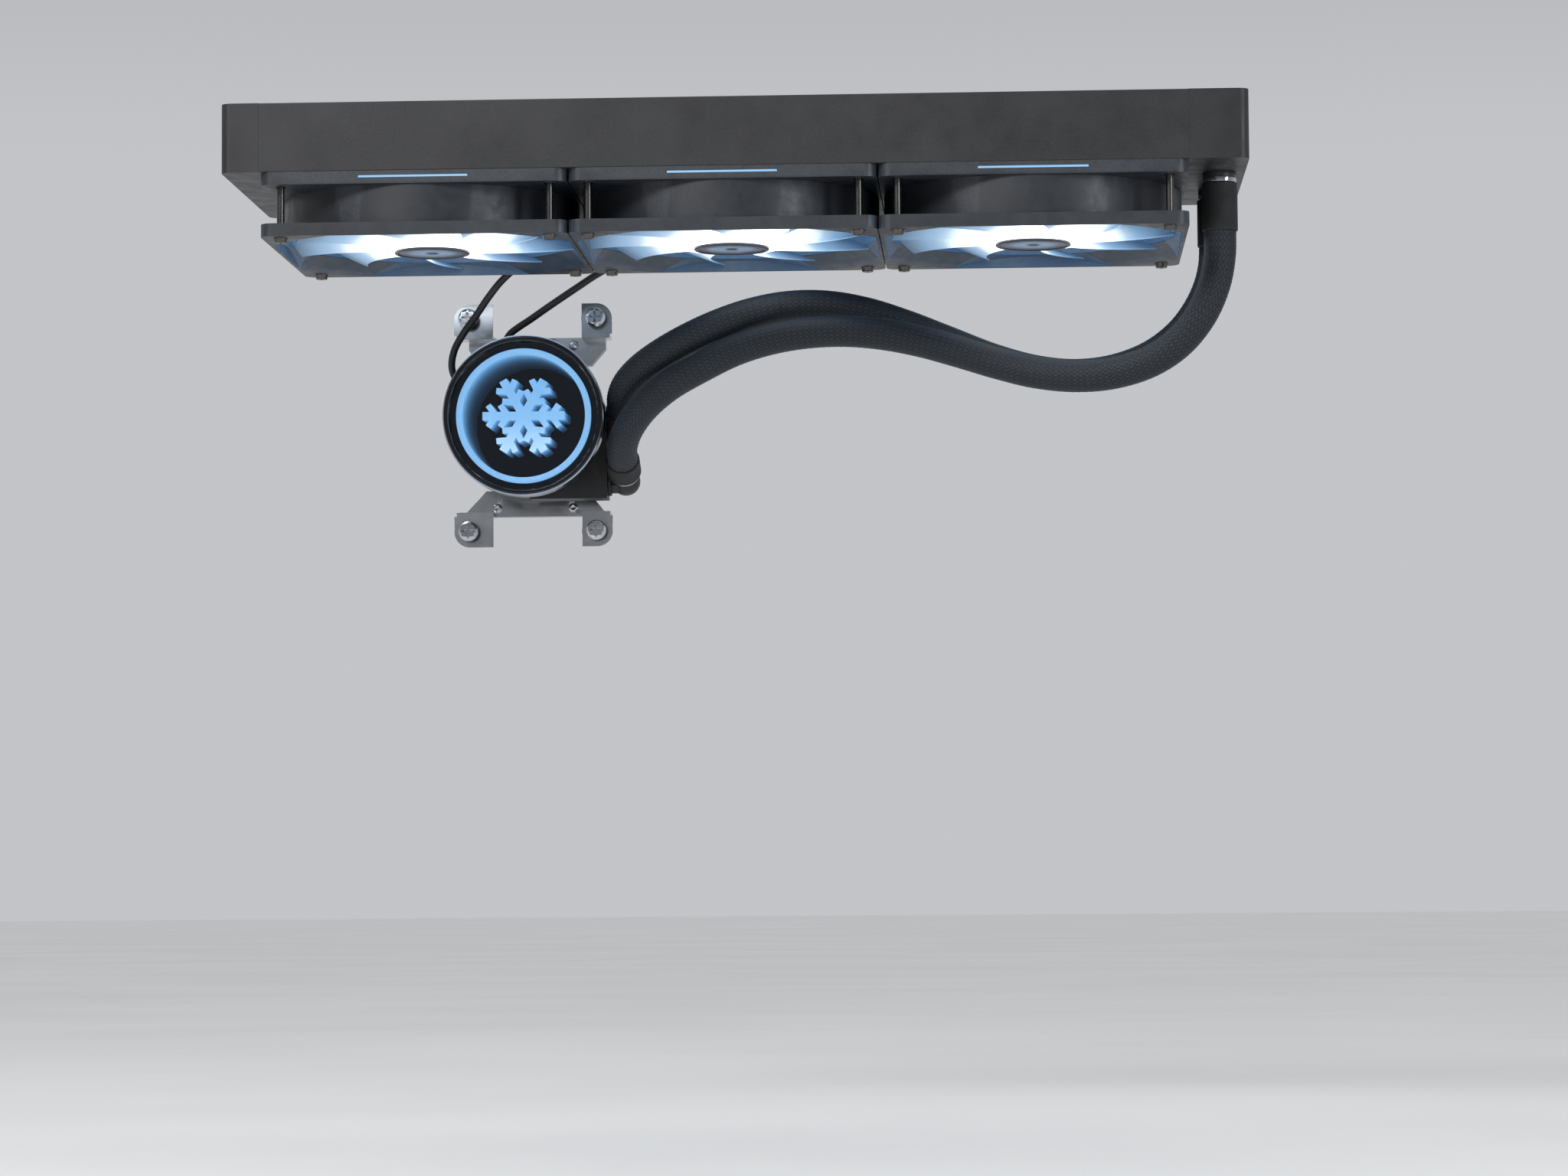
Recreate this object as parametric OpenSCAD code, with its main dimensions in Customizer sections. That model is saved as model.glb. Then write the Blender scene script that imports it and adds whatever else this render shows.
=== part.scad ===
// Closed-loop processor cooler: a radiator with three fans, two braided hoses and a round pump.
// Millimetres, +Z up. The origin is the centre of the radiator's top face, +X points to the hose
// end, and the pump hangs below the fans with its cold plate facing +Y.

/* [Radiator] */
// Length of the finned core between the two end tanks
core_length = 360; // [356:1:364]
// Width of the radiator
rad_width = 120; // [119.6:0.2:122]
// Thickness of the radiator
rad_depth = 27; // [26:0.5:28]
// Length of the plain end tank
return_tank_l = 15; // [12:1:20]
// Length of the end tank that has the hose ports
port_tank_l = 23; // [21:1:26]
// Number of flat coolant tubes
tube_count = 12; // [8:1:13]
// Pitch of the fin folds
fin_pitch = 8; // [6:1:12]
// Distance of each hose port from the middle line
port_y = 22; // [20:1:24]

/* [Fans] */
// Side of each square fan frame
fan_size = 119.6; // [119:0.1:119.8]
// Thickness of each fan
fan_depth = 25; // [25:0.5:26]
// Distance between screw holes along a fan's side
screw_pitch = 105; // [104.8:0.1:105.2]
// Number of blades on each impeller
blade_count = 9; // [7:1:9]
// Outer radius of each impeller
blade_tip_r = 56.5; // [55:0.5:57]
// Outer radius of each fan's hub
hub_r = 20.5; // [19:0.5:21]

/* [Pump] */
// Diameter of the pump's round cap
cap_d = 67; // [66:0.5:70]
// Outer diameter of the lit ring behind the cap's glass
glow_ring_d = 56; // [52:1:58]
// Width of the lit ring
glow_ring_w = 2.4; // [1.6:0.2:4]
// Distance between mounting screws across the socket
socket_x = 54; // [53.5:0.5:54.5]
// Distance between mounting screws along the socket
socket_z = 90; // [89.5:0.5:90.5]
// Diameter of the round cold plate
cold_plate_d = 60; // [58:1:62]

/* [Hoses and cables] */
// Outer diameter of the braided hoses
hose_d = 12.5; // [12:0.1:12.6]
// Angle by which the pump's elbows are turned up from straight forward
elbow_tilt = 25; // [22:1:28]
// Diameter of the pump's two cables
cable_d = 3; // [2.6:0.2:3]

/* [Hidden] */
$fn = 48;

// Fan positions and heights, shared by the radiator's screw holes
fan_gap = 0.4;
fan_step = fan_size + fan_gap;
fan_x = [-fan_step, 0, fan_step];
fan_top = -rad_depth;
fan_bottom = fan_top - fan_depth;
half_screw = screw_pitch / 2;
screw_signs = [[-1, -1], [-1, 1], [1, -1], [1, 1]];

// Radiator details
half_core = core_length / 2;
half_width = rad_width / 2;
rail_t = 1.2;
rail_flange = 13;
core_z0 = 3.5 - rad_depth;
core_h = rad_depth - 7;
core_w = rad_width - 2 * rail_t;
tube_t = 2;
tube_wall = 0.4;
fin_h = (core_w - tube_count * tube_t) / (tube_count + 1);
fin_t = 0.8;
fin_count = floor(core_length / fin_pitch);
tank_wall = 1.5;
tank_r = 4;
port_x = half_core + 13;
neck_r = 4.9;
neck_bore = 3.5;
neck_flange_r = 6.5;
neck_flange_h = 2;
collar_bottom = -50;
collar_r = 7;
collar_bore = 5;
ferrule_r = 6.6;
ferrule_h = 2;
plug_r = 3;
plug_y = 44;
m3_r = 1.5;
m3_hole = 1.6;
fan_thread = 1.8;

// Fan details
flange_h = 5;
fan_corner_r = 5;
duct_outer = 59;
duct_bore = 57.5;
mouth_r = 67;
mouth_half = 58.5;
slit_l = 43;
slit_h = 0.9;
slit_d = 0.8;
fan_hole = 2.15;
mount_disc_r = 20.5;
mount_disc_h = 2.5;
strut_w = 4;
strut_h = 3;
bearing_post_r = 4;
bearing_r = 3;
bearing_bore = 1.55;
shaft_r = 1.5;
hub_bottom = fan_bottom + 1.4;
hub_top = fan_top - 7;
hub_wall = 1.6;
yoke_t = 0.9;
magnet_t = 1.8;
stator_r = 14.6;
blade_t = 1.6;
blade_chord = 37;
blade_angle = 28;
blade_mid = (hub_bottom + hub_top) / 2;
screw_head_r = 2.8;
screw_head_h = 1.8;
screw_tip = 2.7;

// Pump layout along Y, from the cap's face to the cold plate
pump_x = -91;
pump_z = -109.5;
cap_face = 66;
cap_depth = 9;
cap_r = cap_d / 2;
cap_rim = 2.4;
glass_y = cap_face + 0.6;
glass_t = 1.6;
ring_y = cap_face + 2.6;
mirror_y = cap_face + 5.2;
cap_board_y = cap_face + 6.6;
body_y = cap_face + cap_depth;
body_r = 31;
body_end = 119.6;
pad_t = 2;
body_wall = 2.2;
plate_end = 122;
chamber_y = 94;
chamber_end = 102;
base_bore = 24;
can_r = 13.6;
can_t = 0.8;
rotor_r = 12.6;
impeller_y = 89;
impeller_r = 18;
pump_shaft_r = 1.25;
pump_bore = 1.3;
gasket_t = 2;
plate_screw = 18.6;

// Mounting brackets, measured from the pump's axis
bracket_t = 1.6;
bracket_y = 116;
ear_y = 107;
ear_z0 = 38.5;
ear_z1 = 51.5;
ear_mid = 27.5;
ear_out = 34.5;
ear_inner = [17, 20.7];
socket_head_r = 4.2;
socket_head_y = 99;
socket_shank_r = 1.75;
socket_neck_r = 1.5;
socket_neck_end = 109.5;
socket_hole_r = 2;
stud_end = 130;
spring_r = 3.4;
spring_bore = 2.1;
pad_screw_r = 2;
top_outline = [[-28.2, 38], [-28.2, 33], [-23, 26], [24, 26], [30, 33], [30, 38]];
bottom_outline = [[-29.3, -38], [-29.3, -36], [-21, -27], [22, -27], [29.2, -36], [29.2, -38]];
top_pad_screws = [[-16.6, 34.7], [16.6, 34.7]];
bottom_pad_screws = [[-16.2, -34.4], [16, -34.4]];

// Hose routes: hand-set points from the pump's elbow to the radiator's collar
hose_sides = 10;
front_route = [
    [-51, 82, -127], [-50.6, 74.2, -123.2], [-47.6, 64, -117], [-40.5, 53.5, -109],
    [-29.5, 44.5, -101], [-15.5, 38, -94], [-1, 35, -87.5], [13, 31.5, -83.7], [27, 28, -81.8],
    [43, 24, -81.6], [59, 20, -83.5], [75, 16, -87.2], [90, 12, -92], [106, 7.5, -97.5],
    [121, 3, -101.8], [137, -2, -104], [152, -7, -103.3], [166, -11.5, -99.3],
    [177, -15.5, -92.3], [185.5, -19, -82], [190.6, -21, -70.5], [192.7, -21.9, -59.5],
    [193, -22, -50]
];
rear_route = [
    [-51, 82, -105.5], [-50.4, 74, -101.9], [-47.4, 64.5, -97.4], [-41.5, 55.5, -92.6],
    [-33, 48, -87.6], [-22, 42.6, -82.2], [-9, 39.8, -76.7], [5, 39.4, -72.1], [20, 40.6, -69.2],
    [36, 42.2, -69], [52, 43.6, -71.8], [68, 44.6, -77], [84, 44.8, -83.4], [104, 43.6, -91.6],
    [121.4, 41, -96.8], [137.2, 38, -98.8], [153, 34, -97.4], [167.5, 30.5, -92.3],
    [178.5, 27.5, -84.4], [185.6, 25.4, -75.6], [190.2, 23.4, -66.4], [192.4, 22.3, -58],
    [193, 22, -50]
];
elbow_arm = 18;
elbow_dir = [0, -cos(elbow_tilt), sin(elbow_tilt)];
elbow_r = 6;
elbow_tube_r = 4.9;
elbow_bore = 3.4;
elbow_collar_l = 11;
boss_x = pump_x + 32.6;
upper_mouth = rear_route[0];
lower_mouth = front_route[0];

// Cable routes: hand-set points from the pump's grommets to the hanks behind the fans
cable_sides = 8;
power_route = [
    [-101, 92, -79.5], [-100.8, 91.8, -76], [-99, 90.9, -72.8], [-95, 89.2, -70],
    [-90, 87, -67.2], [-83.5, 84.6, -63.2], [-76.5, 82.6, -58.9], [-69, 80.9, -54.3],
    [-61, 79.6, -49.4], [-52, 78.4, -45], [-42, 77, -42], [-32, 75.2, -41], [-22, 72.8, -42],
    [-13, 70.9, -43.3], [-10, 70.4, -43.5]
];
light_route = [
    [-119, 92, -93.3], [-122, 91, -90.8], [-123.2, 88.6, -86.5], [-121.7, 85.2, -80],
    [-117.3, 82.2, -73], [-111.7, 79.5, -66], [-106.3, 77, -58.8], [-100.5, 74.6, -52.3],
    [-94, 72.5, -47.3], [-87, 70.9, -44.3], [-81, 70.4, -43.5]
];
hank_y = 62;
hank_t = 10;
hank_l = 58;
hank_h = 18;
hank_z = -36;
light_hank_x = -57.5;
power_hank_x = 14;
tie_t = 0.8;
tie_w = 3.6;
connector = [13, 7, 9.5];
grommet_r = 2.6;
grommet_l = 3.4;

// ---- Shared shapes ----

module rounded_box(x, y, z, r) {
    translate([r, 0, 0]) cube([x - 2 * r, y, z]);
    translate([0, r, 0]) cube([x, y - 2 * r, z]);
    for (cx = [r, x - r], cy = [r, y - r]) translate([cx, cy, 0]) cylinder(h = z, r = r);
}

module at_pump() {
    translate([pump_x, 0, pump_z]) children();
}

// A flat XZ outline given thickness t along +Y from y0
module slab_y(y0, t) {
    translate([0, y0 + t, 0]) rotate([90, 0, 0]) linear_extrude(t) children();
}

module disc_y(y0, t, r) {
    translate([0, y0 + t, 0]) rotate([90, 0, 0]) cylinder(h = t, r = r);
}

module ring_y(y0, t, outer, inner) {
    difference() {
        disc_y(y0, t, outer);
        disc_y(y0 - 1, t + 2, inner);
    }
}

module ring_z(z0, h, outer, inner) {
    difference() {
        translate([0, 0, z0]) cylinder(h = h, r = outer);
        translate([0, 0, z0 - 1]) cylinder(h = h + 2, r = inner);
    }
}

// Four places at a fan's screw corners
module at_screws() {
    for (s = screw_signs) translate([s[0] * half_screw, s[1] * half_screw, 0]) children();
}

// A frame at a pump elbow's centre, with +Z along its outlet
module at_elbow(mouth) {
    translate(mouth - elbow_arm * elbow_dir) rotate([90 - elbow_tilt, 0, 0]) children();
}

function unit(v) = v / norm(v);
function tangent(p, i) = unit(p[min(i + 1, len(p) - 1)] - p[max(i - 1, 0)]);
function across(v, t) = unit(v - (v * t) * t);
function carried(t, v, i = 0) = i >= len(t) ? [] :
    let (n = across(v, t[i])) concat([n], carried(t, n, i + 1));

// A tube of one size swept along the points of a route
module swept_tube(route, d, sides, first, last) {
    n = len(route);
    t = [for (i = [0:n - 1]) i == 0 ? first : i == n - 1 ? last : tangent(route, i)];
    u = carried(t, [1, 0.3, 0.2]);
    points = [for (i = [0:n - 1], k = [0:sides - 1])
        let (a = 360 * k / sides, w = cross(t[i], u[i]))
        route[i] + d / 2 * (cos(a) * u[i] + sin(a) * w)];
    walls = [for (i = [0:n - 2], k = [0:sides - 1])
        let (a = i * sides + k, b = i * sides + (k + 1) % sides)
        [a, a + sides, b + sides, b]];
    start = [for (k = [0:sides - 1]) k];
    end = [for (k = [sides - 1:-1:0]) (n - 1) * sides + k];
    polyhedron(points = points, faces = concat(walls, [start, end]));
}

// ---- Radiator ----

function tube_y(i) = -core_w / 2 + fin_h * (i + 1) + tube_t * i;

// Flat tubes that carry the coolant from tank to tank
module core_tubes() {
    color([0.05, 0.05, 0.055]) for (i = [0:tube_count - 1]) {
        translate([-half_core, tube_y(i), core_z0]) difference() {
            cube([core_length, tube_t, core_h]);
            translate([-1, tube_wall, tube_wall])
                cube([core_length + 2, tube_t - 2 * tube_wall, core_h - 2 * tube_wall]);
        }
    }
}

// Upper line of one folded fin strip, left to right
function fold(i, s) = let (x = i * fin_pitch / 2)
    [x + (s ? fin_pitch / 8 : 0), i % 2 == 0 ? fin_t : fin_h];

// Folded strips between the tubes
module fin_packs() {
    line = [for (i = [0:2 * fin_count - 1], s = [0:1]) fold(i, s == 1)];
    last = len(line) - 1;
    shifted = [for (i = [last:-1:0]) line[i] - [0, fin_t]];
    color([0.07, 0.07, 0.075]) for (i = [0:tube_count]) {
        translate([-half_core + 1, tube_y(i) - fin_h, core_z0])
            linear_extrude(core_h) polygon(concat(line, shifted));
    }
}

// One folded steel side rail, with screw holes in both flanges
module rail() {
    difference() {
        translate([-half_core, 0, -rad_depth]) cube([core_length, rail_flange, rad_depth]);
        translate([-half_core - 1, -1, -rad_depth + rail_t])
            cube([core_length + 2, rail_flange + 1 - rail_t, rad_depth - 2 * rail_t]);
        for (x = fan_x, s = [-1, 1]) {
            translate([x + s * half_screw, rail_flange - half_width + half_screw, 0]) {
                translate([0, 0, -rail_t - 1]) cylinder(h = rail_t + 2, r = m3_hole);
                translate([0, 0, -rad_depth - 1]) cylinder(h = rail_t + 2, r = fan_thread);
            }
        }
    }
}

module rail_rear() {
    color([0.04, 0.04, 0.045]) translate([0, half_width - rail_flange, 0]) rail();
}

module rail_front() {
    color([0.04, 0.04, 0.045]) mirror([0, 1, 0]) translate([0, half_width - rail_flange, 0]) rail();
}

// Slots where the tubes open into a tank's inner wall
module tube_slots() {
    for (i = [0:tube_count - 1]) {
        translate([-2 * tank_wall, tube_y(i) + tube_wall, core_z0 + tube_wall])
            cube([4 * tank_wall, tube_t - 2 * tube_wall, core_h - 2 * tube_wall]);
    }
}

module port_tank() {
    inner_l = port_tank_l - 2 * tank_wall;
    color([0.045, 0.045, 0.05]) difference() {
        translate([half_core, -half_width, -rad_depth]) union() {
            rounded_box(port_tank_l, rad_width, rad_depth, tank_r);
            cube([tank_r + 1, rad_width, rad_depth]);
        }
        for (s = [0, 1]) {
            translate([half_core + tank_wall, s ? tank_wall / 2 : tank_wall - half_width,
                tank_wall - rad_depth])
                cube([inner_l, half_width - 1.5 * tank_wall, rad_depth - 2 * tank_wall]);
        }
        translate([half_core, 0, 0]) tube_slots();
        for (s = [-1, 1]) {
            translate([port_x, s * port_y, -rad_depth - 1])
                cylinder(h = tank_wall + 2, r = neck_bore);
        }
        translate([half_core + port_tank_l - 2 * tank_wall, plug_y, -rad_depth / 2])
            rotate([0, 90, 0]) cylinder(h = 3 * tank_wall, r = plug_r + 0.05);
    }
}

module return_tank() {
    color([0.045, 0.045, 0.05]) difference() {
        translate([-half_core - return_tank_l, -half_width, -rad_depth]) union() {
            rounded_box(return_tank_l, rad_width, rad_depth, tank_r);
            translate([return_tank_l - tank_r - 1, 0, 0]) cube([tank_r + 1, rad_width, rad_depth]);
        }
        translate([tank_wall - half_core - return_tank_l, tank_wall - half_width,
            tank_wall - rad_depth])
            cube([return_tank_l - 2 * tank_wall, rad_width - 2 * tank_wall,
                rad_depth - 2 * tank_wall]);
        translate([-half_core, 0, 0]) tube_slots();
    }
}

// Screw that closes the filling hole in the port tank's end
module fill_plug() {
    end_x = half_core + port_tank_l;
    color([0.1, 0.1, 0.11]) translate([end_x, plug_y, -rad_depth / 2]) rotate([0, 90, 0]) {
        difference() {
            union() {
                translate([0, 0, -tank_wall]) cylinder(h = tank_wall + 1, r = plug_r);
                cylinder(h = 1.4, r = plug_r + 1.8);
            }
            translate([0, 0, -0.2]) cylinder(h = 2, r = 1.7, $fn = 6);
        }
    }
}

// Barbed necks under the port tank
module port_necks() {
    color([0.1, 0.1, 0.11]) for (s = [-1, 1]) translate([port_x, s * port_y, 0]) {
        difference() {
            union() {
                translate([0, 0, collar_bottom + 1])
                    cylinder(h = -rad_depth - collar_bottom - 1, r = neck_r);
                translate([0, 0, -rad_depth - neck_flange_h])
                    cylinder(h = neck_flange_h, r = neck_flange_r);
            }
            translate([0, 0, collar_bottom]) cylinder(h = 30, r = neck_bore);
        }
    }
}

// ---- Fans ----

// One flange of a fan frame, from z0 upward, before it is bored
module fan_flange(z0) {
    translate([-fan_size / 2, -fan_size / 2, z0])
        rounded_box(fan_size, fan_size, flange_h, fan_corner_r);
}

module fan_frame() {
    post_h = hub_top - hub_bottom - 3;
    color([0.06, 0.07, 0.08]) {
        difference() {
            union() {
                fan_flange(fan_bottom);
                fan_flange(fan_top - flange_h);
                translate([0, 0, fan_bottom + 1]) cylinder(h = fan_depth - 2, r = duct_outer);
            }
            translate([0, 0, fan_bottom - 1]) cylinder(h = fan_depth + 2, r = duct_bore);
            intersection() {
                translate([0, 0, fan_bottom - 0.01])
                    cylinder(h = flange_h, r1 = mouth_r, r2 = duct_bore);
                translate([-mouth_half, -mouth_half, fan_bottom - 1])
                    cube([2 * mouth_half, 2 * mouth_half, flange_h + 2]);
            }
            for (s = [-1, 1]) translate([-slit_l / 2, s * fan_size / 2 - slit_d, fan_top - 2.6])
                cube([slit_l, 2 * slit_d, slit_h]);
            at_screws() translate([0, 0, fan_bottom - 1]) cylinder(h = fan_depth + 2, r = fan_hole);
        }
        difference() {
            union() {
                translate([0, 0, fan_top - mount_disc_h])
                    cylinder(h = mount_disc_h, r = mount_disc_r);
                translate([0, 0, hub_top - post_h]) cylinder(h = post_h + 5, r = bearing_post_r);
                for (a = [45:90:315]) rotate([0, 0, a]) {
                    translate([mount_disc_r - 0.5, -strut_w / 2, fan_top - strut_h])
                        cube([duct_outer - mount_disc_r, strut_w, strut_h]);
                }
            }
            translate([0, 0, fan_bottom]) cylinder(h = fan_depth - 1, r = bearing_r);
        }
    }
}

// One flat pitched blade, trimmed to the impeller's round outline
module blade() {
    intersection() {
        ring_z(hub_bottom + 1, hub_top - hub_bottom - 2, blade_tip_r, hub_r - 0.8);
        translate([0, 0, blade_mid]) rotate([blade_angle, 0, 0])
            translate([0, -blade_chord / 2, -blade_t / 2])
            cube([blade_tip_r + 1, blade_chord, blade_t]);
    }
}

module fan_impeller() {
    color([0.75, 0.85, 0.95]) {
        difference() {
            translate([0, 0, hub_bottom]) cylinder(h = hub_top - hub_bottom, r = hub_r);
            translate([0, 0, hub_bottom + hub_wall])
                cylinder(h = hub_top - hub_bottom, r = hub_r - hub_wall);
            translate([0, 0, hub_bottom + 0.8]) cylinder(h = 2, r = shaft_r);
        }
        for (i = [0:blade_count - 1]) rotate([0, 0, 360 * i / blade_count]) blade();
    }
}

// Steel cup, ring magnet and shaft that turn with the impeller
module fan_rotor_core() {
    cup_r = hub_r - hub_wall;
    cup_z = hub_bottom + hub_wall;
    cup_h = hub_top - cup_z - 1;
    color([0.35, 0.35, 0.37]) difference() {
        translate([0, 0, cup_z]) cylinder(h = cup_h, r = cup_r);
        translate([0, 0, cup_z + yoke_t]) cylinder(h = cup_h, r = cup_r - yoke_t);
        translate([0, 0, cup_z - 1]) cylinder(h = 3, r = shaft_r);
    }
    color([0.2, 0.2, 0.21])
        ring_z(cup_z + 2, cup_h - 2.5, cup_r - yoke_t, cup_r - yoke_t - magnet_t);
    color([0.7, 0.7, 0.72]) translate([0, 0, hub_bottom + 0.8])
        cylinder(h = hub_top - hub_bottom + 1.5, r = shaft_r);
}

// Four wound poles around the bearing post
module fan_stator() {
    z0 = hub_bottom + hub_wall + 3.2;
    h = 7.5;
    color([0.7, 0.4, 0.2]) difference() {
        union() {
            translate([0, 0, z0]) cylinder(h = h, r = 6.5);
            for (a = [0:90:270]) rotate([0, 0, a]) {
                translate([5, -2, z0 + 1]) cube([8, 4, h - 2]);
                intersection() {
                    ring_z(z0, h, stator_r, 12.4);
                    translate([8, -8, z0]) cube([8, 16, h]);
                }
            }
        }
        translate([0, 0, z0 - 1]) cylinder(h = h + 2, r = bearing_post_r + 0.1);
    }
}

// Round circuit board with the fan's lights, under the motor mount
module fan_led_board() {
    z0 = fan_top - mount_disc_h - 1.65;
    color([0.9, 0.95, 1]) ring_z(z0, 1.6, mount_disc_r - 1, bearing_post_r + 0.1);
}

module at_fan(i) {
    translate([fan_x[i], 0, 0]) children();
}

module fan_1_frame() { at_fan(0) fan_frame(); }
module fan_1_impeller() { at_fan(0) fan_impeller(); }
module fan_1_rotor_core() { at_fan(0) fan_rotor_core(); }
module fan_1_stator() { at_fan(0) fan_stator(); }
module fan_1_led_board() { at_fan(0) fan_led_board(); }
module fan_2_frame() { at_fan(1) fan_frame(); }
module fan_2_impeller() { at_fan(1) fan_impeller(); }
module fan_2_rotor_core() { at_fan(1) fan_rotor_core(); }
module fan_2_stator() { at_fan(1) fan_stator(); }
module fan_2_led_board() { at_fan(1) fan_led_board(); }
module fan_3_frame() { at_fan(2) fan_frame(); }
module fan_3_impeller() { at_fan(2) fan_impeller(); }
module fan_3_rotor_core() { at_fan(2) fan_rotor_core(); }
module fan_3_stator() { at_fan(2) fan_stator(); }
module fan_3_led_board() { at_fan(2) fan_led_board(); }

// One sleeve bearing in each fan's post
module fan_bearings() {
    z0 = hub_bottom + 5;
    color([0.6, 0.45, 0.2]) for (i = [0:2]) at_fan(i) ring_z(z0, 13, bearing_r, bearing_bore);
}

// A round screw head below z = 0 with a cross recess
module cross_head(r, h) {
    difference() {
        translate([0, 0, -h]) cylinder(h = h, r1 = r * 0.8, r2 = r);
        for (a = [0, 90]) rotate([0, 0, a])
            translate([-r * 0.55, -r * 0.13, -h - 1]) cube([r * 1.1, r * 0.26, 1 + h * 0.6]);
    }
}

// Twelve long screws that hold the fans to the radiator's rails
module fan_screws() {
    color([0.75, 0.75, 0.78]) for (i = [0:2]) at_fan(i) at_screws() translate([0, 0, fan_bottom]) {
        cross_head(screw_head_r, screw_head_h);
        cylinder(h = fan_depth + screw_tip, r = m3_r);
    }
}

// ---- Hoses and fittings ----

module hose_front() {
    color([0.03, 0.04, 0.05]) swept_tube(front_route, hose_d, hose_sides, elbow_dir, [0, 0, 1]);
}

module hose_rear() {
    color([0.03, 0.04, 0.05]) swept_tube(rear_route, hose_d, hose_sides, elbow_dir, [0, 0, 1]);
}

// Bright crimp rings where the hoses' collars end
module hose_ferrules() {
    color([0.85, 0.87, 0.9]) {
        for (s = [-1, 1]) translate([port_x, s * port_y, 0])
            ring_z(-rad_depth - neck_flange_h - ferrule_h, ferrule_h, ferrule_r, collar_bore);
        for (m = [upper_mouth, lower_mouth]) at_elbow(m)
            ring_z(elbow_arm - elbow_collar_l, 1, ferrule_r, collar_bore);
    }
}

// Plain sleeves over the hose ends
module hose_collars() {
    top = -rad_depth - neck_flange_h - ferrule_h;
    color([0.02, 0.02, 0.022]) {
        for (s = [-1, 1]) translate([port_x, s * port_y, 0])
            ring_z(collar_bottom, top - collar_bottom, collar_r, collar_bore);
        for (m = [upper_mouth, lower_mouth]) at_elbow(m)
            ring_z(elbow_arm - elbow_collar_l + 1, elbow_collar_l - 1, collar_r, collar_bore);
    }
}

// A turning elbow: barrel out of the pump, ball, and outlet towards the hose
module elbow(mouth) {
    c = mouth - elbow_arm * elbow_dir;
    barrel = mouth[0] - boss_x;
    difference() {
        union() {
            translate([boss_x, c[1], c[2]]) rotate([0, 90, 0]) cylinder(h = barrel, r = 5);
            translate(c) sphere(r = elbow_r);
            at_elbow(mouth) cylinder(h = elbow_arm - 0.5, r = elbow_tube_r);
        }
        translate([boss_x - 1, c[1], c[2]]) rotate([0, 90, 0])
            cylinder(h = barrel + 1, r = elbow_bore);
        at_elbow(mouth) cylinder(h = elbow_arm + 1, r = elbow_bore);
    }
}

module elbow_upper() {
    color([0.03, 0.03, 0.035]) elbow(upper_mouth);
}

module elbow_lower() {
    color([0.03, 0.03, 0.035]) elbow(lower_mouth);
}

// Seal ring round each elbow's barrel, against the pump's port block
module elbow_seals() {
    color([0.02, 0.02, 0.02]) for (m = [upper_mouth, lower_mouth]) {
        c = m - elbow_arm * elbow_dir;
        translate([boss_x, c[1], c[2]]) rotate([0, 90, 0]) ring_z(0.05, 1.2, 6, 5.15);
    }
}

// ---- Pump cap ----

module cap_bezel() {
    color([0.02, 0.02, 0.025]) at_pump() difference() {
        union() {
            disc_y(cap_face + 0.8, cap_depth - 0.8, cap_r);
            translate([0, cap_face + 0.8, 0]) rotate([90, 0, 0])
                cylinder(h = 0.8, r1 = cap_r, r2 = cap_r - 0.8);
        }
        disc_y(cap_face - 1, cap_depth + 2, cap_r - cap_rim);
    }
}

module cap_glass() {
    color([0.05, 0.06, 0.08, 0.5]) at_pump() disc_y(glass_y, glass_t, cap_r - cap_rim - 0.1);
}

// Lit diffuser ring behind the glass
module glow_ring() {
    r = glow_ring_d / 2;
    color([0.8, 0.95, 1]) at_pump() ring_y(ring_y, 2, r, r - glow_ring_w);
}

// Mirror that repeats the ring's light inward
module rear_mirror() {
    color([0.1, 0.12, 0.15]) at_pump() disc_y(mirror_y, 1, cap_r - cap_rim - 0.1);
}

// Generic six-armed frost star
module emblem() {
    arm = 17;
    bar = 3.4;
    color([0.85, 0.95, 1]) at_pump() for (a = [30:60:330]) rotate([0, a, 0]) {
        translate([-bar / 2, ring_y, 0]) cube([bar, 1.2, arm]);
        for (z = [6.5, 11.5], s = [-1, 1]) {
            translate([0, ring_y, z]) rotate([0, s * 55, 0])
                translate([-bar * 0.35, 0, 0]) cube([bar * 0.7, 1.2, 5.5]);
        }
    }
}

module cap_led_board() {
    color([0.1, 0.25, 0.2]) at_pump() disc_y(cap_board_y, 1.35, cap_r - cap_rim - 0.1);
}

// ---- Pump ----

module pump_body() {
    low = lower_mouth - elbow_arm * elbow_dir;
    high = upper_mouth - elbow_arm * elbow_dir;
    boss_z = low[2] - 7.5;
    color([0.02, 0.02, 0.022]) difference() {
        union() {
            at_pump() disc_y(body_y, body_end - body_y, body_r);
            at_pump() for (pad = [top_outline, bottom_outline])
                slab_y(body_end - pad_t, pad_t) polygon(pad);
            translate([pump_x, low[1] - 7, boss_z])
                cube([boss_x - pump_x, 12.5, high[2] + 7.5 - boss_z]);
        }
        at_pump() disc_y(body_y + 3, chamber_end - body_y - 3, body_r - body_wall);
        at_pump() disc_y(chamber_end - 1, body_end - chamber_end + 2, base_bore);
        for (c = [low, high]) translate([pump_x + 10, c[1], c[2]]) rotate([0, 90, 0])
            cylinder(h = 40, r = elbow_bore);
        at_pump() for (x = [-1, 1], z = [-1, 1])
            translate([x * plate_screw, body_end + 1, z * plate_screw]) rotate([90, 0, 0])
            cylinder(h = 4, r = 1.25);
        translate(power_route[0] - [0, 0, 6.5]) cylinder(h = 10, r = grommet_r + 0.1);
        translate(light_route[0]) rotate([0, 120, 0]) translate([0, 0, -5])
            cylinder(h = 10, r = grommet_r + 0.1);
        at_pump() for (p = concat(top_pad_screws, bottom_pad_screws))
            translate([p[0], body_end + 1, p[1]]) rotate([90, 0, 0]) cylinder(h = 4, r = 1.05);
    }
}

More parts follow.
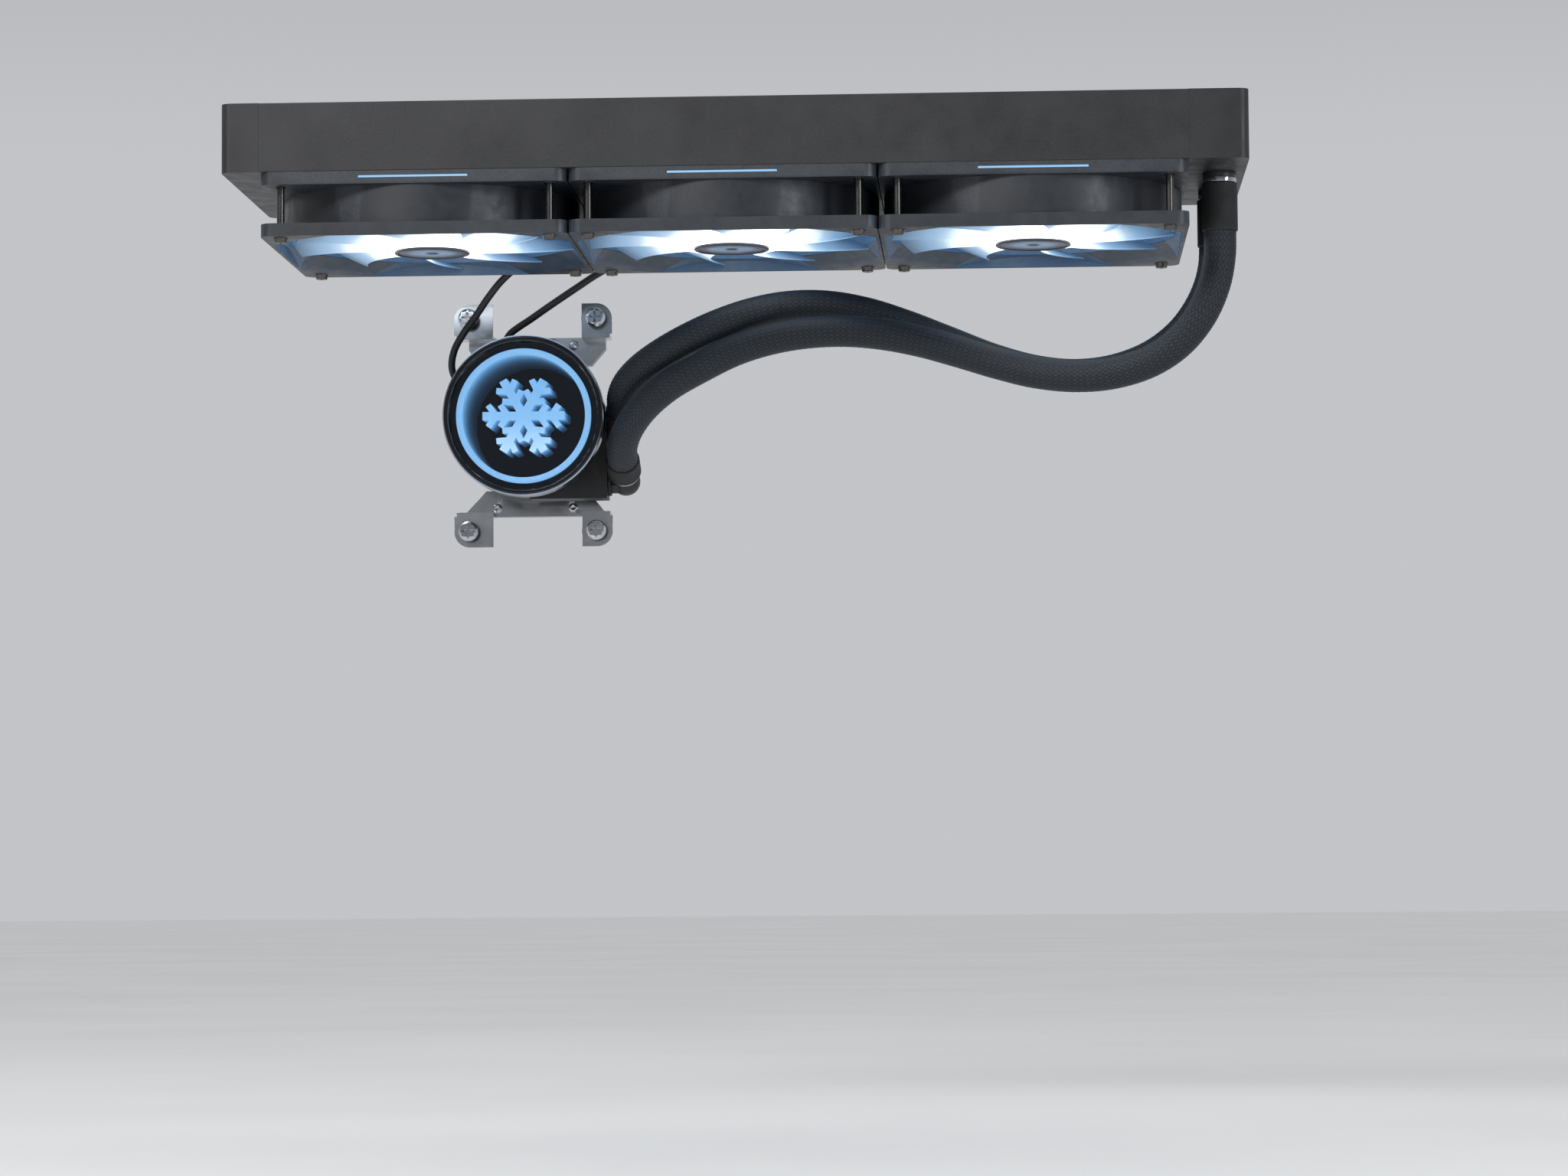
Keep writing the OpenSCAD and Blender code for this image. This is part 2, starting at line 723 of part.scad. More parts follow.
// Wall between the motor and the coolant, with the rotor's can
module chamber_plate() {
    color([0.1, 0.1, 0.11]) at_pump() difference() {
        union() {
            disc_y(impeller_y - 2, 1.6, body_r - body_wall - 0.1);
            disc_y(body_y + 5, impeller_y - body_y - 6, can_r);
        }
        disc_y(body_y + 5 + can_t, 20, can_r - can_t);
    }
}

// Driven by its magnet inside the can
module pump_impeller() {
    y0 = body_y + 7;
    color([0.8, 0.8, 0.82]) at_pump() difference() {
        union() {
            disc_y(y0, impeller_y - y0 + 0.5, rotor_r - 0.4);
            disc_y(impeller_y, 1.6, impeller_r);
            disc_y(impeller_y, 4.4, 4);
            for (a = [0:60:300]) rotate([0, a, 0])
                translate([3, impeller_y + 1, -0.7]) cube([impeller_r - 4, 3.2, 1.4]);
        }
        disc_y(y0 - 1, 20, pump_bore);
    }
}

module impeller_shaft() {
    color([0.9, 0.9, 0.88]) at_pump() disc_y(body_y + 5 + can_t, chamber_y - body_y - 5, pump_shaft_r);
}

// Six wound poles outside the can
module pump_stator() {
    y0 = body_y + 5;
    color([0.7, 0.4, 0.2]) at_pump() {
        ring_y(y0, 6, 27, 23);
        for (a = [0:60:300]) rotate([0, a, 0]) {
            translate([can_r + 1.4, y0 + 0.6, -2.6]) cube([9, 4.8, 5.2]);
        }
    }
}

// ---- Base of the pump ----

module base_gasket() {
    color([0.02, 0.02, 0.02]) at_pump()
        ring_y(body_end - 1.2, 1.2, base_bore, base_bore - gasket_t);
}

// Copper plate with fine fins on the coolant's side
module cold_plate() {
    color([0.8, 0.45, 0.25]) at_pump() difference() {
        union() {
            disc_y(body_end, plate_end - body_end, cold_plate_d / 2);
            for (x = [-14:2:14]) translate([x - 0.4, body_end - 5, -14]) cube([0.8, 5.2, 28]);
        }
        for (x = [-1, 1], z = [-1, 1]) translate([x * plate_screw, plate_end, z * plate_screw])
            rotate([90, 0, 0]) {
                translate([0, 0, -1]) cylinder(h = 6, r = 1.3);
                translate([0, 0, -0.01]) cylinder(h = 1.3, r1 = 2.6, r2 = 1.3);
            }
    }
}

module cold_plate_screws() {
    color([0.6, 0.6, 0.62]) at_pump() for (x = [-1, 1], z = [-1, 1])
        translate([x * plate_screw, plate_end - 0.2, z * plate_screw]) rotate([90, 0, 0]) {
            cylinder(h = 1.1, r1 = 2.3, r2 = 1.2);
            cylinder(h = 4.8, r = 1.2);
        }
}

// Outline of one ear, on the right side: straight inside, rounded outside
module ear_outline(inner, flip) {
    scale([1, flip]) difference() {
        union() {
            translate([inner, ear_z0]) square([ear_mid - inner, ear_z1 - ear_z0]);
            translate([ear_mid - 1, ear_z0]) square([ear_out - ear_mid, 5]);
            translate([ear_mid - 0.5, (ear_z0 + ear_z1) / 2]) circle(r = (ear_z1 - ear_z0) / 2);
        }
        translate([socket_x / 2, socket_z / 2]) circle(r = socket_hole_r);
    }
}

// One steel bracket: a plate over the body's pad, a riser at each side and two raised ears
module bracket(flip, outline, pad_screws) {
    riser_z = flip > 0 ? ear_z0 - bracket_t : -ear_z0;
    color([0.8, 0.8, 0.83]) at_pump() {
        difference() {
            union() {
                slab_y(bracket_y, bracket_t) polygon(outline);
                for (s = [-1, 1]) {
                    inner = s > 0 ? ear_inner[1] : ear_inner[0];
                    slab_y(ear_y, bracket_t) scale([s, 1]) ear_outline(inner, flip);
                    translate([s > 0 ? inner : -ear_out + 2, ear_y, riser_z])
                        cube([ear_out - inner - 2, bracket_y + bracket_t - ear_y, bracket_t]);
                    translate([s > 0 ? inner : -ear_out + 2, ear_y, riser_z - 0.2])
                        cube([ear_out - inner - 2, bracket_t, bracket_t + 0.4]);
                }
            }
            disc_y(bracket_y - 1, bracket_t + 2, body_r + 0.1);
            for (p = pad_screws) translate([p[0], bracket_y + 3, p[1]]) rotate([90, 0, 0])
                cylinder(h = 4, r = 1.05);
        }
    }
}

module bracket_top() {
    bracket(1, top_outline, top_pad_screws);
}

module bracket_bottom() {
    bracket(-1, bottom_outline, bottom_pad_screws);
}

// A cross-recess head and a shank on the Y axis, head towards -Y
module screw_y(y_head, y_seat, y_end, head_r, shank_r) {
    translate([0, y_seat, 0]) rotate([-90, 0, 0]) cross_head(head_r, y_seat - y_head);
    disc_y(y_seat, y_end - y_seat, shank_r);
}

module bracket_screws() {
    color([0.75, 0.75, 0.78]) at_pump() for (p = concat(top_pad_screws, bottom_pad_screws))
        translate([p[0], 0, p[1]])
            screw_y(bracket_y - 1.3, bracket_y, body_end - 0.3, pad_screw_r, 1);
}

// Four sprung screws that hold the pump on the processor's socket
module mount_screws() {
    color([0.78, 0.78, 0.8]) at_pump() for (x = [-1, 1], z = [-1, 1])
        translate([x * socket_x / 2, 0, z * socket_z / 2])
            union() {
                screw_y(socket_head_y, socket_head_y + 3, socket_neck_end, socket_head_r,
                    socket_neck_r);
                disc_y(socket_neck_end, stud_end - socket_neck_end, socket_shank_r);
            }
}

// Springs between the screw heads and the ears, as closed sleeves
module mount_springs() {
    y0 = socket_head_y + 3;
    color([0.7, 0.7, 0.72]) at_pump() for (x = [-1, 1], z = [-1, 1])
        translate([x * socket_x / 2, 0, z * socket_z / 2])
            ring_y(y0, ear_y - y0, spring_r, spring_bore);
}

// ---- Cables ----

module power_cable() {
    color([0.02, 0.02, 0.022]) swept_tube(power_route, cable_d, cable_sides, [0, 0, 1], [1, 0, 0]);
}

module light_cable() {
    color([0.02, 0.02, 0.022])
        swept_tube(light_route, cable_d, cable_sides, unit([-0.87, 0, 0.5]), [1, 0, 0]);
}

// Bundled spare cable: a flat stadium standing behind the fans
module hank(x) {
    translate([x, 0, hank_z]) slab_y(hank_y, hank_t) {
        translate([-(hank_l - hank_h) / 2, -hank_h / 2]) square([hank_l - hank_h, hank_h]);
        for (s = [-1, 1]) translate([s * (hank_l - hank_h) / 2, 0]) circle(r = hank_h / 2);
    }
}

module power_hank() {
    color([0.02, 0.02, 0.022]) hank(power_hank_x);
}

module light_hank() {
    color([0.02, 0.02, 0.022]) hank(light_hank_x);
}

// A small socket housing with pin holes, its cable end at -X
module cable_plug(x) {
    translate([x + hank_l / 2, hank_y, hank_z - hank_h / 2]) difference() {
        cube(connector);
        for (i = [0:2]) translate([connector[0] - 6, connector[1] / 2, 2.2 + 2.54 * i])
            translate([0, -0.5, -0.5]) cube([8, 1, 1]);
    }
}

module power_connector() {
    color([0.03, 0.03, 0.03]) cable_plug(power_hank_x);
}

module light_connector() {
    color([0.85, 0.85, 0.85]) cable_plug(light_hank_x);
}

// Short rubber sleeves where the cables leave the pump
module cable_grommets() {
    color([0.03, 0.03, 0.03]) {
        translate(power_route[0]) ring_z(-grommet_l + 1, grommet_l, grommet_r, cable_d / 2 + 0.05);
        translate(light_route[0]) rotate([0, 300, 0])
            ring_z(-grommet_l + 1, grommet_l, grommet_r, cable_d / 2 + 0.05);
    }
}

// A thin strap round the middle of each hank
module cable_ties() {
    color([0.05, 0.05, 0.05]) for (x = [light_hank_x, power_hank_x]) translate([x, 0, 0])
        difference() {
            translate([-tie_w / 2, hank_y - tie_t, hank_z - hank_h / 2 - tie_t])
                cube([tie_w, hank_t + 2 * tie_t, hank_h + 2 * tie_t]);
            translate([-tie_w, hank_y, hank_z - hank_h / 2]) cube([2 * tie_w, hank_t, hank_h]);
        }
}

core_tubes();
fin_packs();
rail_front();
rail_rear();
port_tank();
return_tank();
fill_plug();
port_necks();
fan_1_frame();
fan_1_impeller();
fan_1_rotor_core();
fan_1_stator();
fan_1_led_board();
fan_2_frame();
fan_2_impeller();
fan_2_rotor_core();
fan_2_stator();
fan_2_led_board();
fan_3_frame();
fan_3_impeller();
fan_3_rotor_core();
fan_3_stator();
fan_3_led_board();
fan_bearings();
fan_screws();
hose_front();
hose_rear();
hose_ferrules();
hose_collars();
elbow_upper();
elbow_lower();
elbow_seals();
cap_bezel();
cap_glass();
glow_ring();
rear_mirror();
emblem();
cap_led_board();
pump_body();
chamber_plate();
pump_impeller();
impeller_shaft();
pump_stator();
base_gasket();
cold_plate();
cold_plate_screws();
bracket_top();
bracket_bottom();
bracket_screws();
mount_screws();
mount_springs();
power_cable();
power_hank();
power_connector();
light_cable();
light_hank();
light_connector();
cable_grommets();
cable_ties();
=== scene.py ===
import bpy
import math
from mathutils import Matrix, Vector


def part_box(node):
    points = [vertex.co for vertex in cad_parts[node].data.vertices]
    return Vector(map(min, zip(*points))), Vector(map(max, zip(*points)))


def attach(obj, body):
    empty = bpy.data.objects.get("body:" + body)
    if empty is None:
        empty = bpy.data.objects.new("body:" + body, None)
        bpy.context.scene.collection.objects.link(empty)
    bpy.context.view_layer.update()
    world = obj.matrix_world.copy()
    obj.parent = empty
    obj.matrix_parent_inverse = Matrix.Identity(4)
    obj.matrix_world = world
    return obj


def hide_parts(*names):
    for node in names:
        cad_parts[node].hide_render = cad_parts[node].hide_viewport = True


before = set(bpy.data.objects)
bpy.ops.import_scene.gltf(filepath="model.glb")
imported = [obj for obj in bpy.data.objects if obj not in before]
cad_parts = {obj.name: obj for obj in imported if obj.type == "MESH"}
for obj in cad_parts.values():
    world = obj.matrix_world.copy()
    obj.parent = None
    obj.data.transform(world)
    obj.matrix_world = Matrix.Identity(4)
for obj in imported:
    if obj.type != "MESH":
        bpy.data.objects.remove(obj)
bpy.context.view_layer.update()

# ------------------------------------------------------------------ driving sizes
# All lengths are in millimetres unless a name says otherwise; MM turns them into metres.
MM = 0.001
# The floor is well below the part, which hangs from its top
FLOOR_Z = -403.0

# Fans
FAN_PITCH = 120.0
FAN_X = (-FAN_PITCH, 0.0, FAN_PITCH)
FAN_SIDE = 119.6
FAN_BOTTOM = -52.0
FAN_TOP = -27.0
FLANGE = 5.0
MOUTH_HALF = 58.7
DUCT_R = 57.7
# A turned outline starts this far from its axis, so that its middle has no zero-size faces
AXIS = 0.01
HUB_R = 20.5
HUB_BOTTOM = -50.6
HUB_TOP = -34.0
HUB_WALL = 1.5
HUB_ROUND = 1.1
BADGE_R = 15.0
BADGE_GROOVES = 10
GROOVE_PITCH = 1.05
# The panel of painted light in the middle of each bevel: half its width at the flange's top, and its
# flare
PANEL_HALF = 21.5
PANEL_FLARE = 2.3
# Strengths of the painted light on the frame's bevel, its panel and its duct wall
BEVEL_GLOW = 0.05
PANEL_GLOW = 0.13
DUCT_GLOW = 0.28

# Blades: angles are in degrees, and each pair is a value at the hub and its change by the tip
BLADES = 9
BLADE_TIP = 56.5
BLADE_MID = -45.0
BLADE_ROOT = 0.6
BLADE_SPAN = (40.5, -2.5)
BLADE_SWEEP = -16.0
BLADE_RISE = (10.0, -1.0)
BLADE_CAMBER = 1.2
BLADE_THICK = 0.75
BLADE_TAPER = (1.25, -0.5)
# Each fan stopped at a different angle, in radians
FAN_STAGGER = 0.2

# Strips of painted light: half length, end slant, depth, and heights below the fan's top
STRIP_HALF = 21.3
STRIP_SLANT = 0.3
STRIP_DEEP = 0.3
STRIP_INSET = 0.62
STRIP_UPPER = 1.75
STRIP_LOWER = 2.58

# Radiator fins
TUBES = 12
TUBE_T = 2.0
TUBE_INSET = 0.5
FIN_PITCH = 2.0
FIN_SHEET = 0.16

# Pump and its cap
PUMP_X, PUMP_Z = -91.0, -109.5
CAP_FACE = 66.0
CAP_R = 33.5
RING_R = 28.0
RING_W = 2.4
STAR_ARM = 17.0
STAR_BAR = 3.4
STAR_TWIGS = (6.5, 11.5)
TWIG_BAR = 0.35
TWIG_LENGTH = 5.5
TWIG_ANGLE = 55
SOCKET_HALF_X = 27.0
SOCKET_HALF_Z = 45.0
SPRING_R = 2.85
SPRING_WIRE = 0.8
SPRING_TURNS = 3.5

# Painted reflections of the ring and the star in the half-mirror glass: dimmer lit repeats set
# behind it. Each is a step deeper and drifts to the lower right.
RING_REFLECTIONS = 10
STAR_REFLECTIONS = 6
TRAIL_POWER = 0.9
TRAIL_FADE = 0.70
TRAIL_Y = CAP_FACE + 4.9
STAR_TRAIL_Y = TRAIL_Y - 0.35
TRAIL_GAP = 0.02
TRAIL_SHEET = 0.012
RING_STEP = (0.50, -0.48)
RING_SHRINK = 0.004
RING_COVER = 0.3
STAR_STEP = (0.42, -0.34)

# Hoses and cables
HOSE_D = 12.5
BRAID_STRANDS = 24
BRAID_PITCH = 2.6
WEAVE_RELIEF = 0.32
CABLE_D = 3.0

ICE = (0.60, 0.83, 1.0)
UNLIT_DIFFUSER = (0.10, 0.13, 0.16)

# Hose routes, from the pump's elbow to the radiator's collar, as the CAD source has them
FRONT_ROUTE = (
    (-51, 82, -127), (-50.6, 74.2, -123.2), (-47.6, 64, -117), (-40.5, 53.5, -109),
    (-29.5, 44.5, -101), (-15.5, 38, -94), (-1, 35, -87.5), (13, 31.5, -83.7), (27, 28, -81.8),
    (43, 24, -81.6), (59, 20, -83.5), (75, 16, -87.2), (90, 12, -92), (106, 7.5, -97.5),
    (121, 3, -101.8), (137, -2, -104), (152, -7, -103.3), (166, -11.5, -99.3),
    (177, -15.5, -92.3), (185.5, -19, -82), (190.6, -21, -70.5), (192.7, -21.9, -59.5),
    (193, -22, -50))
REAR_ROUTE = (
    (-51, 82, -105.5), (-50.4, 74, -101.9), (-47.4, 64.5, -97.4), (-41.5, 55.5, -92.6),
    (-33, 48, -87.6), (-22, 42.6, -82.2), (-9, 39.8, -76.7), (5, 39.4, -72.1), (20, 40.6, -69.2),
    (36, 42.2, -69), (52, 43.6, -71.8), (68, 44.6, -77), (84, 44.8, -83.4), (104, 43.6, -91.6),
    (121.4, 41, -96.8), (137.2, 38, -98.8), (153, 34, -97.4), (167.5, 30.5, -92.3),
    (178.5, 27.5, -84.4), (185.6, 25.4, -75.6), (190.2, 23.4, -66.4), (192.4, 22.3, -58),
    (193, 22, -50))
# Cable routes, from the pump's grommets to the first run of each hank
POWER_ROUTE = (
    (-101, 92, -79.5), (-100.8, 91.8, -76), (-99, 90.9, -72.8), (-95, 89.2, -70),
    (-90, 87, -67.2), (-83.5, 84.6, -63.2), (-76.5, 82.6, -58.9), (-69, 80.9, -54.3),
    (-61, 79.6, -49.4), (-52, 78.4, -45), (-42, 77, -42), (-32, 75.2, -41), (-22, 72.8, -42),
    (-13, 70.9, -43.3), (-10, 70.4, -43.5))
LIGHT_ROUTE = (
    (-119, 92, -93.3), (-122, 91, -90.8), (-123.2, 88.6, -86.5), (-121.7, 85.2, -80),
    (-117.3, 82.2, -73), (-111.7, 79.5, -66), (-106.3, 77, -58.8), (-100.5, 74.6, -52.3),
    (-94, 72.5, -47.3), (-87, 70.9, -44.3), (-81, 70.4, -43.5))
HANK_Z = -36.0
HANK_LOOP_R = 7.5
HANK_HALF_RUN = 20.0
HANK_TURNS = 2
HANK_PITCH = 3.2
POWER_HANK_X = 14.0
LIGHT_HANK_X = -57.5
HANK_END = 29.0


# ------------------------------------------------------------------ camera
def make_camera():
    """The camera looks up a little, from below the fans and to the right of the middle."""
    place = Vector((109.342, -1786.732, -306.736)) * MM
    yaw, pitch, roll = -0.050, 0.067, -0.007
    ahead = Vector((math.sin(yaw) * math.cos(pitch), math.cos(yaw) * math.cos(pitch),
                    math.sin(pitch)))
    side = Vector((math.cos(yaw), -math.sin(yaw), 0))
    up = side.cross(ahead)
    right = math.cos(roll) * side + math.sin(roll) * up
    top = -math.sin(roll) * side + math.cos(roll) * up
    data = bpy.data.cameras.new("camera")
    data.sensor_width = 36.0
    data.lens = 103.85
    data.clip_start = 0.05
    data.clip_end = 40
    cam = bpy.data.objects.new("camera", data)
    turn = Matrix((right, top, -ahead)).transposed().to_4x4()
    cam.matrix_world = Matrix.Translation(place) @ turn
    bpy.context.scene.collection.objects.link(cam)
    bpy.context.scene.camera = cam


make_camera()


# ------------------------------------------------------------------ mesh helpers
def new_piece(name, verts, faces, body, smooth=True, angle=40):
    """A mesh object in the part's frame, from points in millimetres, riding on a body."""
    mesh = bpy.data.meshes.new(name)
    mesh.from_pydata([(x * MM, y * MM, z * MM) for x, y, z in verts], [], faces)
    mesh.validate()
    obj = bpy.data.objects.new(name, mesh)
    bpy.context.scene.collection.objects.link(obj)
    if smooth:
        mesh.shade_smooth()
        mesh.set_sharp_from_angle(angle=math.radians(angle))
    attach(obj, body)
    return obj


def paint(obj, *mats):
    """Puts the materials on an object in place of any it has."""
    obj.data.materials.clear()
    for m in mats:
        obj.data.materials.append(m)


def spin(profile, steps):
    """Verts and faces of a closed loop of (radius, height) turned about Z, in its own frame."""
    verts, faces = [], []
    n = len(profile)
    for i in range(steps):
        a = 2 * math.pi * i / steps
        for r, h in profile:
            verts.append((r * math.cos(a), r * math.sin(a), h))
    for i in range(steps):
        j = (i + 1) % steps
        for k in range(n):
            m = (k + 1) % n
            faces.append((i * n + k, j * n + k, j * n + m, i * n + m))
    return verts, faces


def about_pump(verts):
    """Turns points from a Z-axis frame so that their height runs along +Y, about the pump."""
    return [(PUMP_X + x, h, PUMP_Z + z) for x, z, h in verts]


def rounded(profile, r, steps=3):
    """A closed (radius, height) loop with every corner rounded by radius r."""
    out = []
    n = len(profile)
    for i in range(n):
        p = Vector(profile[i])
        a = (Vector(profile[i - 1]) - p)
        b = (Vector(profile[(i + 1) % n]) - p)
        cut = min(r, a.length * 0.45, b.length * 0.45)
        start = p + a.normalized() * cut
        end = p + b.normalized() * cut
        for s in range(steps + 1):
            t = s / steps
            q = start * (1 - t) ** 2 + p * 2 * t * (1 - t) + end * t ** 2
            out.append((q.x, q.y))
    return out


def smooth_path(points, step):
    """Points about one step apart on a centripetal curve through the given ones."""
    p = [Vector(q) for q in points]
    p = [p[0] * 2 - p[1]] + p + [p[-1] * 2 - p[-2]]
    out = []
    for i in range(1, len(p) - 2):
        a, b, c, d = p[i - 1:i + 3]
        knots = [0.0]
        for u, v in ((a, b), (b, c), (c, d)):
            knots.append(knots[-1] + max((v - u).length, 1e-6) ** 0.5)
        t0, t1, t2, t3 = knots
        n = max(2, round((c - b).length / step))
        for k in range(n):
            t = t1 + (t2 - t1) * k / n
            a1 = a * ((t1 - t) / (t1 - t0)) + b * ((t - t0) / (t1 - t0))
            a2 = b * ((t2 - t) / (t2 - t1)) + c * ((t - t1) / (t2 - t1))
            a3 = c * ((t3 - t) / (t3 - t2)) + d * ((t - t2) / (t3 - t2))
            b1 = a1 * ((t2 - t) / (t2 - t0)) + a2 * ((t - t0) / (t2 - t0))
            b2 = a2 * ((t3 - t) / (t3 - t1)) + a3 * ((t - t1) / (t3 - t1))
            out.append(b1 * ((t2 - t) / (t2 - t1)) + b2 * ((t - t1) / (t2 - t1)))
    out.append(p[-2])
    return out


def swept(path, radius_at, sides):
    """Verts, faces and UVs of a closed tube along a path. radius_at(s, angle) is in millimetres,
    where s is the length so far."""
    n = len(path)
    tang = [(path[min(i + 1, n - 1)] - path[max(i - 1, 0)]).normalized() for i in range(n)]
    normal = tang[0].cross(Vector((0.3, 0.2, 0.93))).normalized()
    verts, uvs, s = [], [], 0.0
    for i in range(n):
        if i:
            s += (path[i] - path[i - 1]).length
        normal = (normal - normal.dot(tang[i]) * tang[i]).normalized()
        other = tang[i].cross(normal)
        for k in range(sides):
            a = 2 * math.pi * k / sides
            r = radius_at(s, a)
            verts.append(tuple(path[i] + r * (math.cos(a) * normal + math.sin(a) * other)))
            uvs.append((k / sides, s))
    faces = []
    for i in range(n - 1):
        for k in range(sides):
            m = (k + 1) % sides
            faces.append((i * sides + k, (i + 1) * sides + k, (i + 1) * sides + m, i * sides + m))
    faces.append(tuple(range(sides)))
    faces.append(tuple((n - 1) * sides + k for k in reversed(range(sides))))
    return verts, faces, uvs


def give_uvs(obj, uvs, sides):
    """UVs for a swept tube: round the tube in 0..1, and along it in millimetres."""
    layer = obj.data.uv_layers.new(name="along")
    for poly in obj.data.polygons:
        wraps = len(poly.vertices) == 4 and len({uvs[v][0] for v in poly.vertices}) == 2
        high = max(uvs[v][0] for v in poly.vertices)
        for loop, v in zip(poly.loop_indices, poly.vertices):
            u, w = uvs[v]
            if wraps and u == 0 and high > 1.5 / sides:
                u = 1.0
            layer.data[loop].uv = (u, w)


# ------------------------------------------------------------------ material helpers
class Nodes:
    """A small wrapper that makes and links shader nodes."""

    def __init__(self, name):
        self.mat = bpy.data.materials.new(name)
        self.mat.use_nodes = True
        self.tree = self.mat.node_tree
        self.tree.nodes.clear()
        self.out = self.add("ShaderNodeOutputMaterial")

    def add(self, kind, **values):
        node = self.tree.nodes.new(kind)
        for key, value in values.items():
            setattr(node, key, value)
        return node

    def link(self, a, b):
        self.tree.links.new(a, b)

    def set(self, socket, value):
        """Sets a socket's own value, or links it if the value is a socket."""
        if isinstance(value, bpy.types.NodeSocket):
            self.link(value, socket)
        elif hasattr(value, "__len__") and len(value) == 3 and socket.type == "RGBA":
            socket.default_value = (*value, 1.0)
        else:
            socket.default_value = value

    def principled(self, **values):
        node = self.add("ShaderNodeBsdfPrincipled")
        for key, value in values.items():
            self.set(node.inputs[key.replace("_", " ")], value)
        self.link(node.outputs["BSDF"], self.out.inputs["Surface"])
        return node

    def place(self):
        return self.add("ShaderNodeTexCoord").outputs["Object"]

    def uv(self):
        return self.add("ShaderNodeTexCoord").outputs["UV"]

    def scaled(self, vector, scale):
        node = self.add("ShaderNodeMapping")
        self.link(vector, node.inputs["Vector"])
        node.inputs["Scale"].default_value = scale
        return node.outputs["Vector"]

    def noise(self, vector, scale, detail=3.0, rough=0.5):
        node = self.add("ShaderNodeTexNoise")
        self.link(vector, node.inputs["Vector"])
        node.inputs["Scale"].default_value = scale
        node.inputs["Detail"].default_value = detail
        node.inputs["Roughness"].default_value = rough
        return node.outputs["Fac"]

    def math(self, op, a, b=0.0, clamp=False):
        node = self.add("ShaderNodeMath", operation=op, use_clamp=clamp)
        self.set(node.inputs[0], a)
        self.set(node.inputs[1], b)
        return node.outputs[0]

    def spread(self, value, low, high, to_low, to_high):
        node = self.add("ShaderNodeMapRange")
        for key, v in zip(("Value", "From Min", "From Max", "To Min", "To Max"),
                          (value, low, high, to_low, to_high)):
            self.set(node.inputs[key], v)
        return node.outputs["Result"]

    def ramp(self, value, stops, mode="LINEAR"):
        node = self.add("ShaderNodeValToRGB")
        node.color_ramp.interpolation = mode
        self.link(value, node.inputs["Fac"])
        ramp = node.color_ramp
        while len(ramp.elements) < len(stops):
            ramp.elements.new(0.5)
        for element, (at, colour) in zip(ramp.elements, stops):
            element.position = at
            element.color = (*colour, 1.0)
        return node.outputs["Color"]

    def bump(self, height, strength=0.2, distance=0.0002):
        node = self.add("ShaderNodeBump")
        node.inputs["Strength"].default_value = strength
        node.inputs["Distance"].default_value = distance
        self.link(height, node.inputs["Height"])
        return node.outputs["Normal"]

    def radius(self, cx):
        """Distance in metres from the upright line at x = cx, y = 0."""
        sep = self.add("ShaderNodeSeparateXYZ")
        self.link(self.place(), sep.inputs[0])
        x, y = self.math("SUBTRACT", sep.outputs["X"], cx), sep.outputs["Y"]
        return self.math("SQRT", self.math("ADD", self.math("MULTIPLY", x, x),
                                           self.math("MULTIPLY", y, y)))


def edge_wear(m, tint, worn, amount=0.5):
    """Colour that is lighter along convex edges, from the mesh's own pointiness."""
    geo = m.add("ShaderNodeNewGeometry")
    edge = m.spread(geo.outputs["Pointiness"], 0.52, 0.60, 0.0, amount)
    mix = m.add("ShaderNodeMix", data_type="RGBA")
    m.set(mix.inputs["Factor"], m.math("MULTIPLY", edge, m.noise(m.place(), 900.0), clamp=True))
    m.set(mix.inputs["A"], tint)
    m.set(mix.inputs["B"], worn)
    return mix.outputs["Result"]


def plastic(name, dark, light, rough_low, rough_high, grain=4000.0, strength=0.12):
    """Moulded plastic: faint mottling, uneven gloss and a fine moulded grain."""
    m = Nodes(name)
    tint = m.ramp(m.noise(m.place(), 60.0, 4.0), ((0.3, dark), (0.7, light)))
    m.principled(
        Base_Color=edge_wear(m, tint, tuple(c * 2.2 + 0.01 for c in light), 0.35),
        Roughness=m.spread(m.noise(m.place(), 180.0, 5.0), 0.3, 0.7, rough_low, rough_high),
        Normal=m.bump(m.noise(m.place(), grain, 2.0), strength, 0.00008))
    return m.mat


def painted(name, dark, light, rough_low, rough_high):
    """Powder coat on metal: a fine orange-peel surface with dust-soft gloss changes."""
    m = Nodes(name)
    peel = m.math("ADD", m.noise(m.place(), 1500.0, 2.0), m.noise(m.place(), 5200.0, 2.0))
    tint = m.ramp(m.noise(m.place(), 40.0, 4.0), ((0.3, dark), (0.7, light)))
    m.principled(
        Base_Color=edge_wear(m, tint, (0.10, 0.10, 0.105), 0.5),
        Roughness=m.spread(m.noise(m.place(), 120.0, 4.0), 0.3, 0.7, rough_low, rough_high),
        Specular_IOR_Level=0.5,
        Normal=m.bump(peel, 0.25, 0.00012))
    return m.mat


def metal(name, dark, light, rough_low, rough_high, brush=None, scratch=0.15, hollow_shade=0.0):
    """Bare metal; brush is a scale triple for drawn or brushed lines, and hollow_shade is how
    far painted shade darkens its hollows."""
    m = Nodes(name)
    lines = m.noise(m.scaled(m.place(), brush or (1.0, 1.0, 1.0)), 900.0, 4.0, 0.65)
    smear = m.noise(m.place(), 90.0, 5.0, 0.6)
    geo = m.add("ShaderNodeNewGeometry")
    tint = m.add("ShaderNodeMix", data_type="RGBA")
    # Painted shade: the colour goes dark in the mesh's hollows, as far as hollow_shade says.
    m.set(tint.inputs["Factor"], m.spread(geo.outputs["Pointiness"], 0.42, 0.49, hollow_shade, 0.0))
    m.set(tint.inputs["A"], m.ramp(smear, ((0.3, dark), (0.7, light))))
    m.set(tint.inputs["B"], (0.02, 0.02, 0.022))
    m.principled(
        Base_Color=tint.outputs["Result"],
        Metallic=1.0,
        Roughness=m.spread(m.math("MULTIPLY", smear, m.math("ADD", lines, 0.5)), 0.2, 0.8,
                           rough_low, rough_high),
        Normal=m.bump(lines, scratch, 0.00004))
    return m.mat


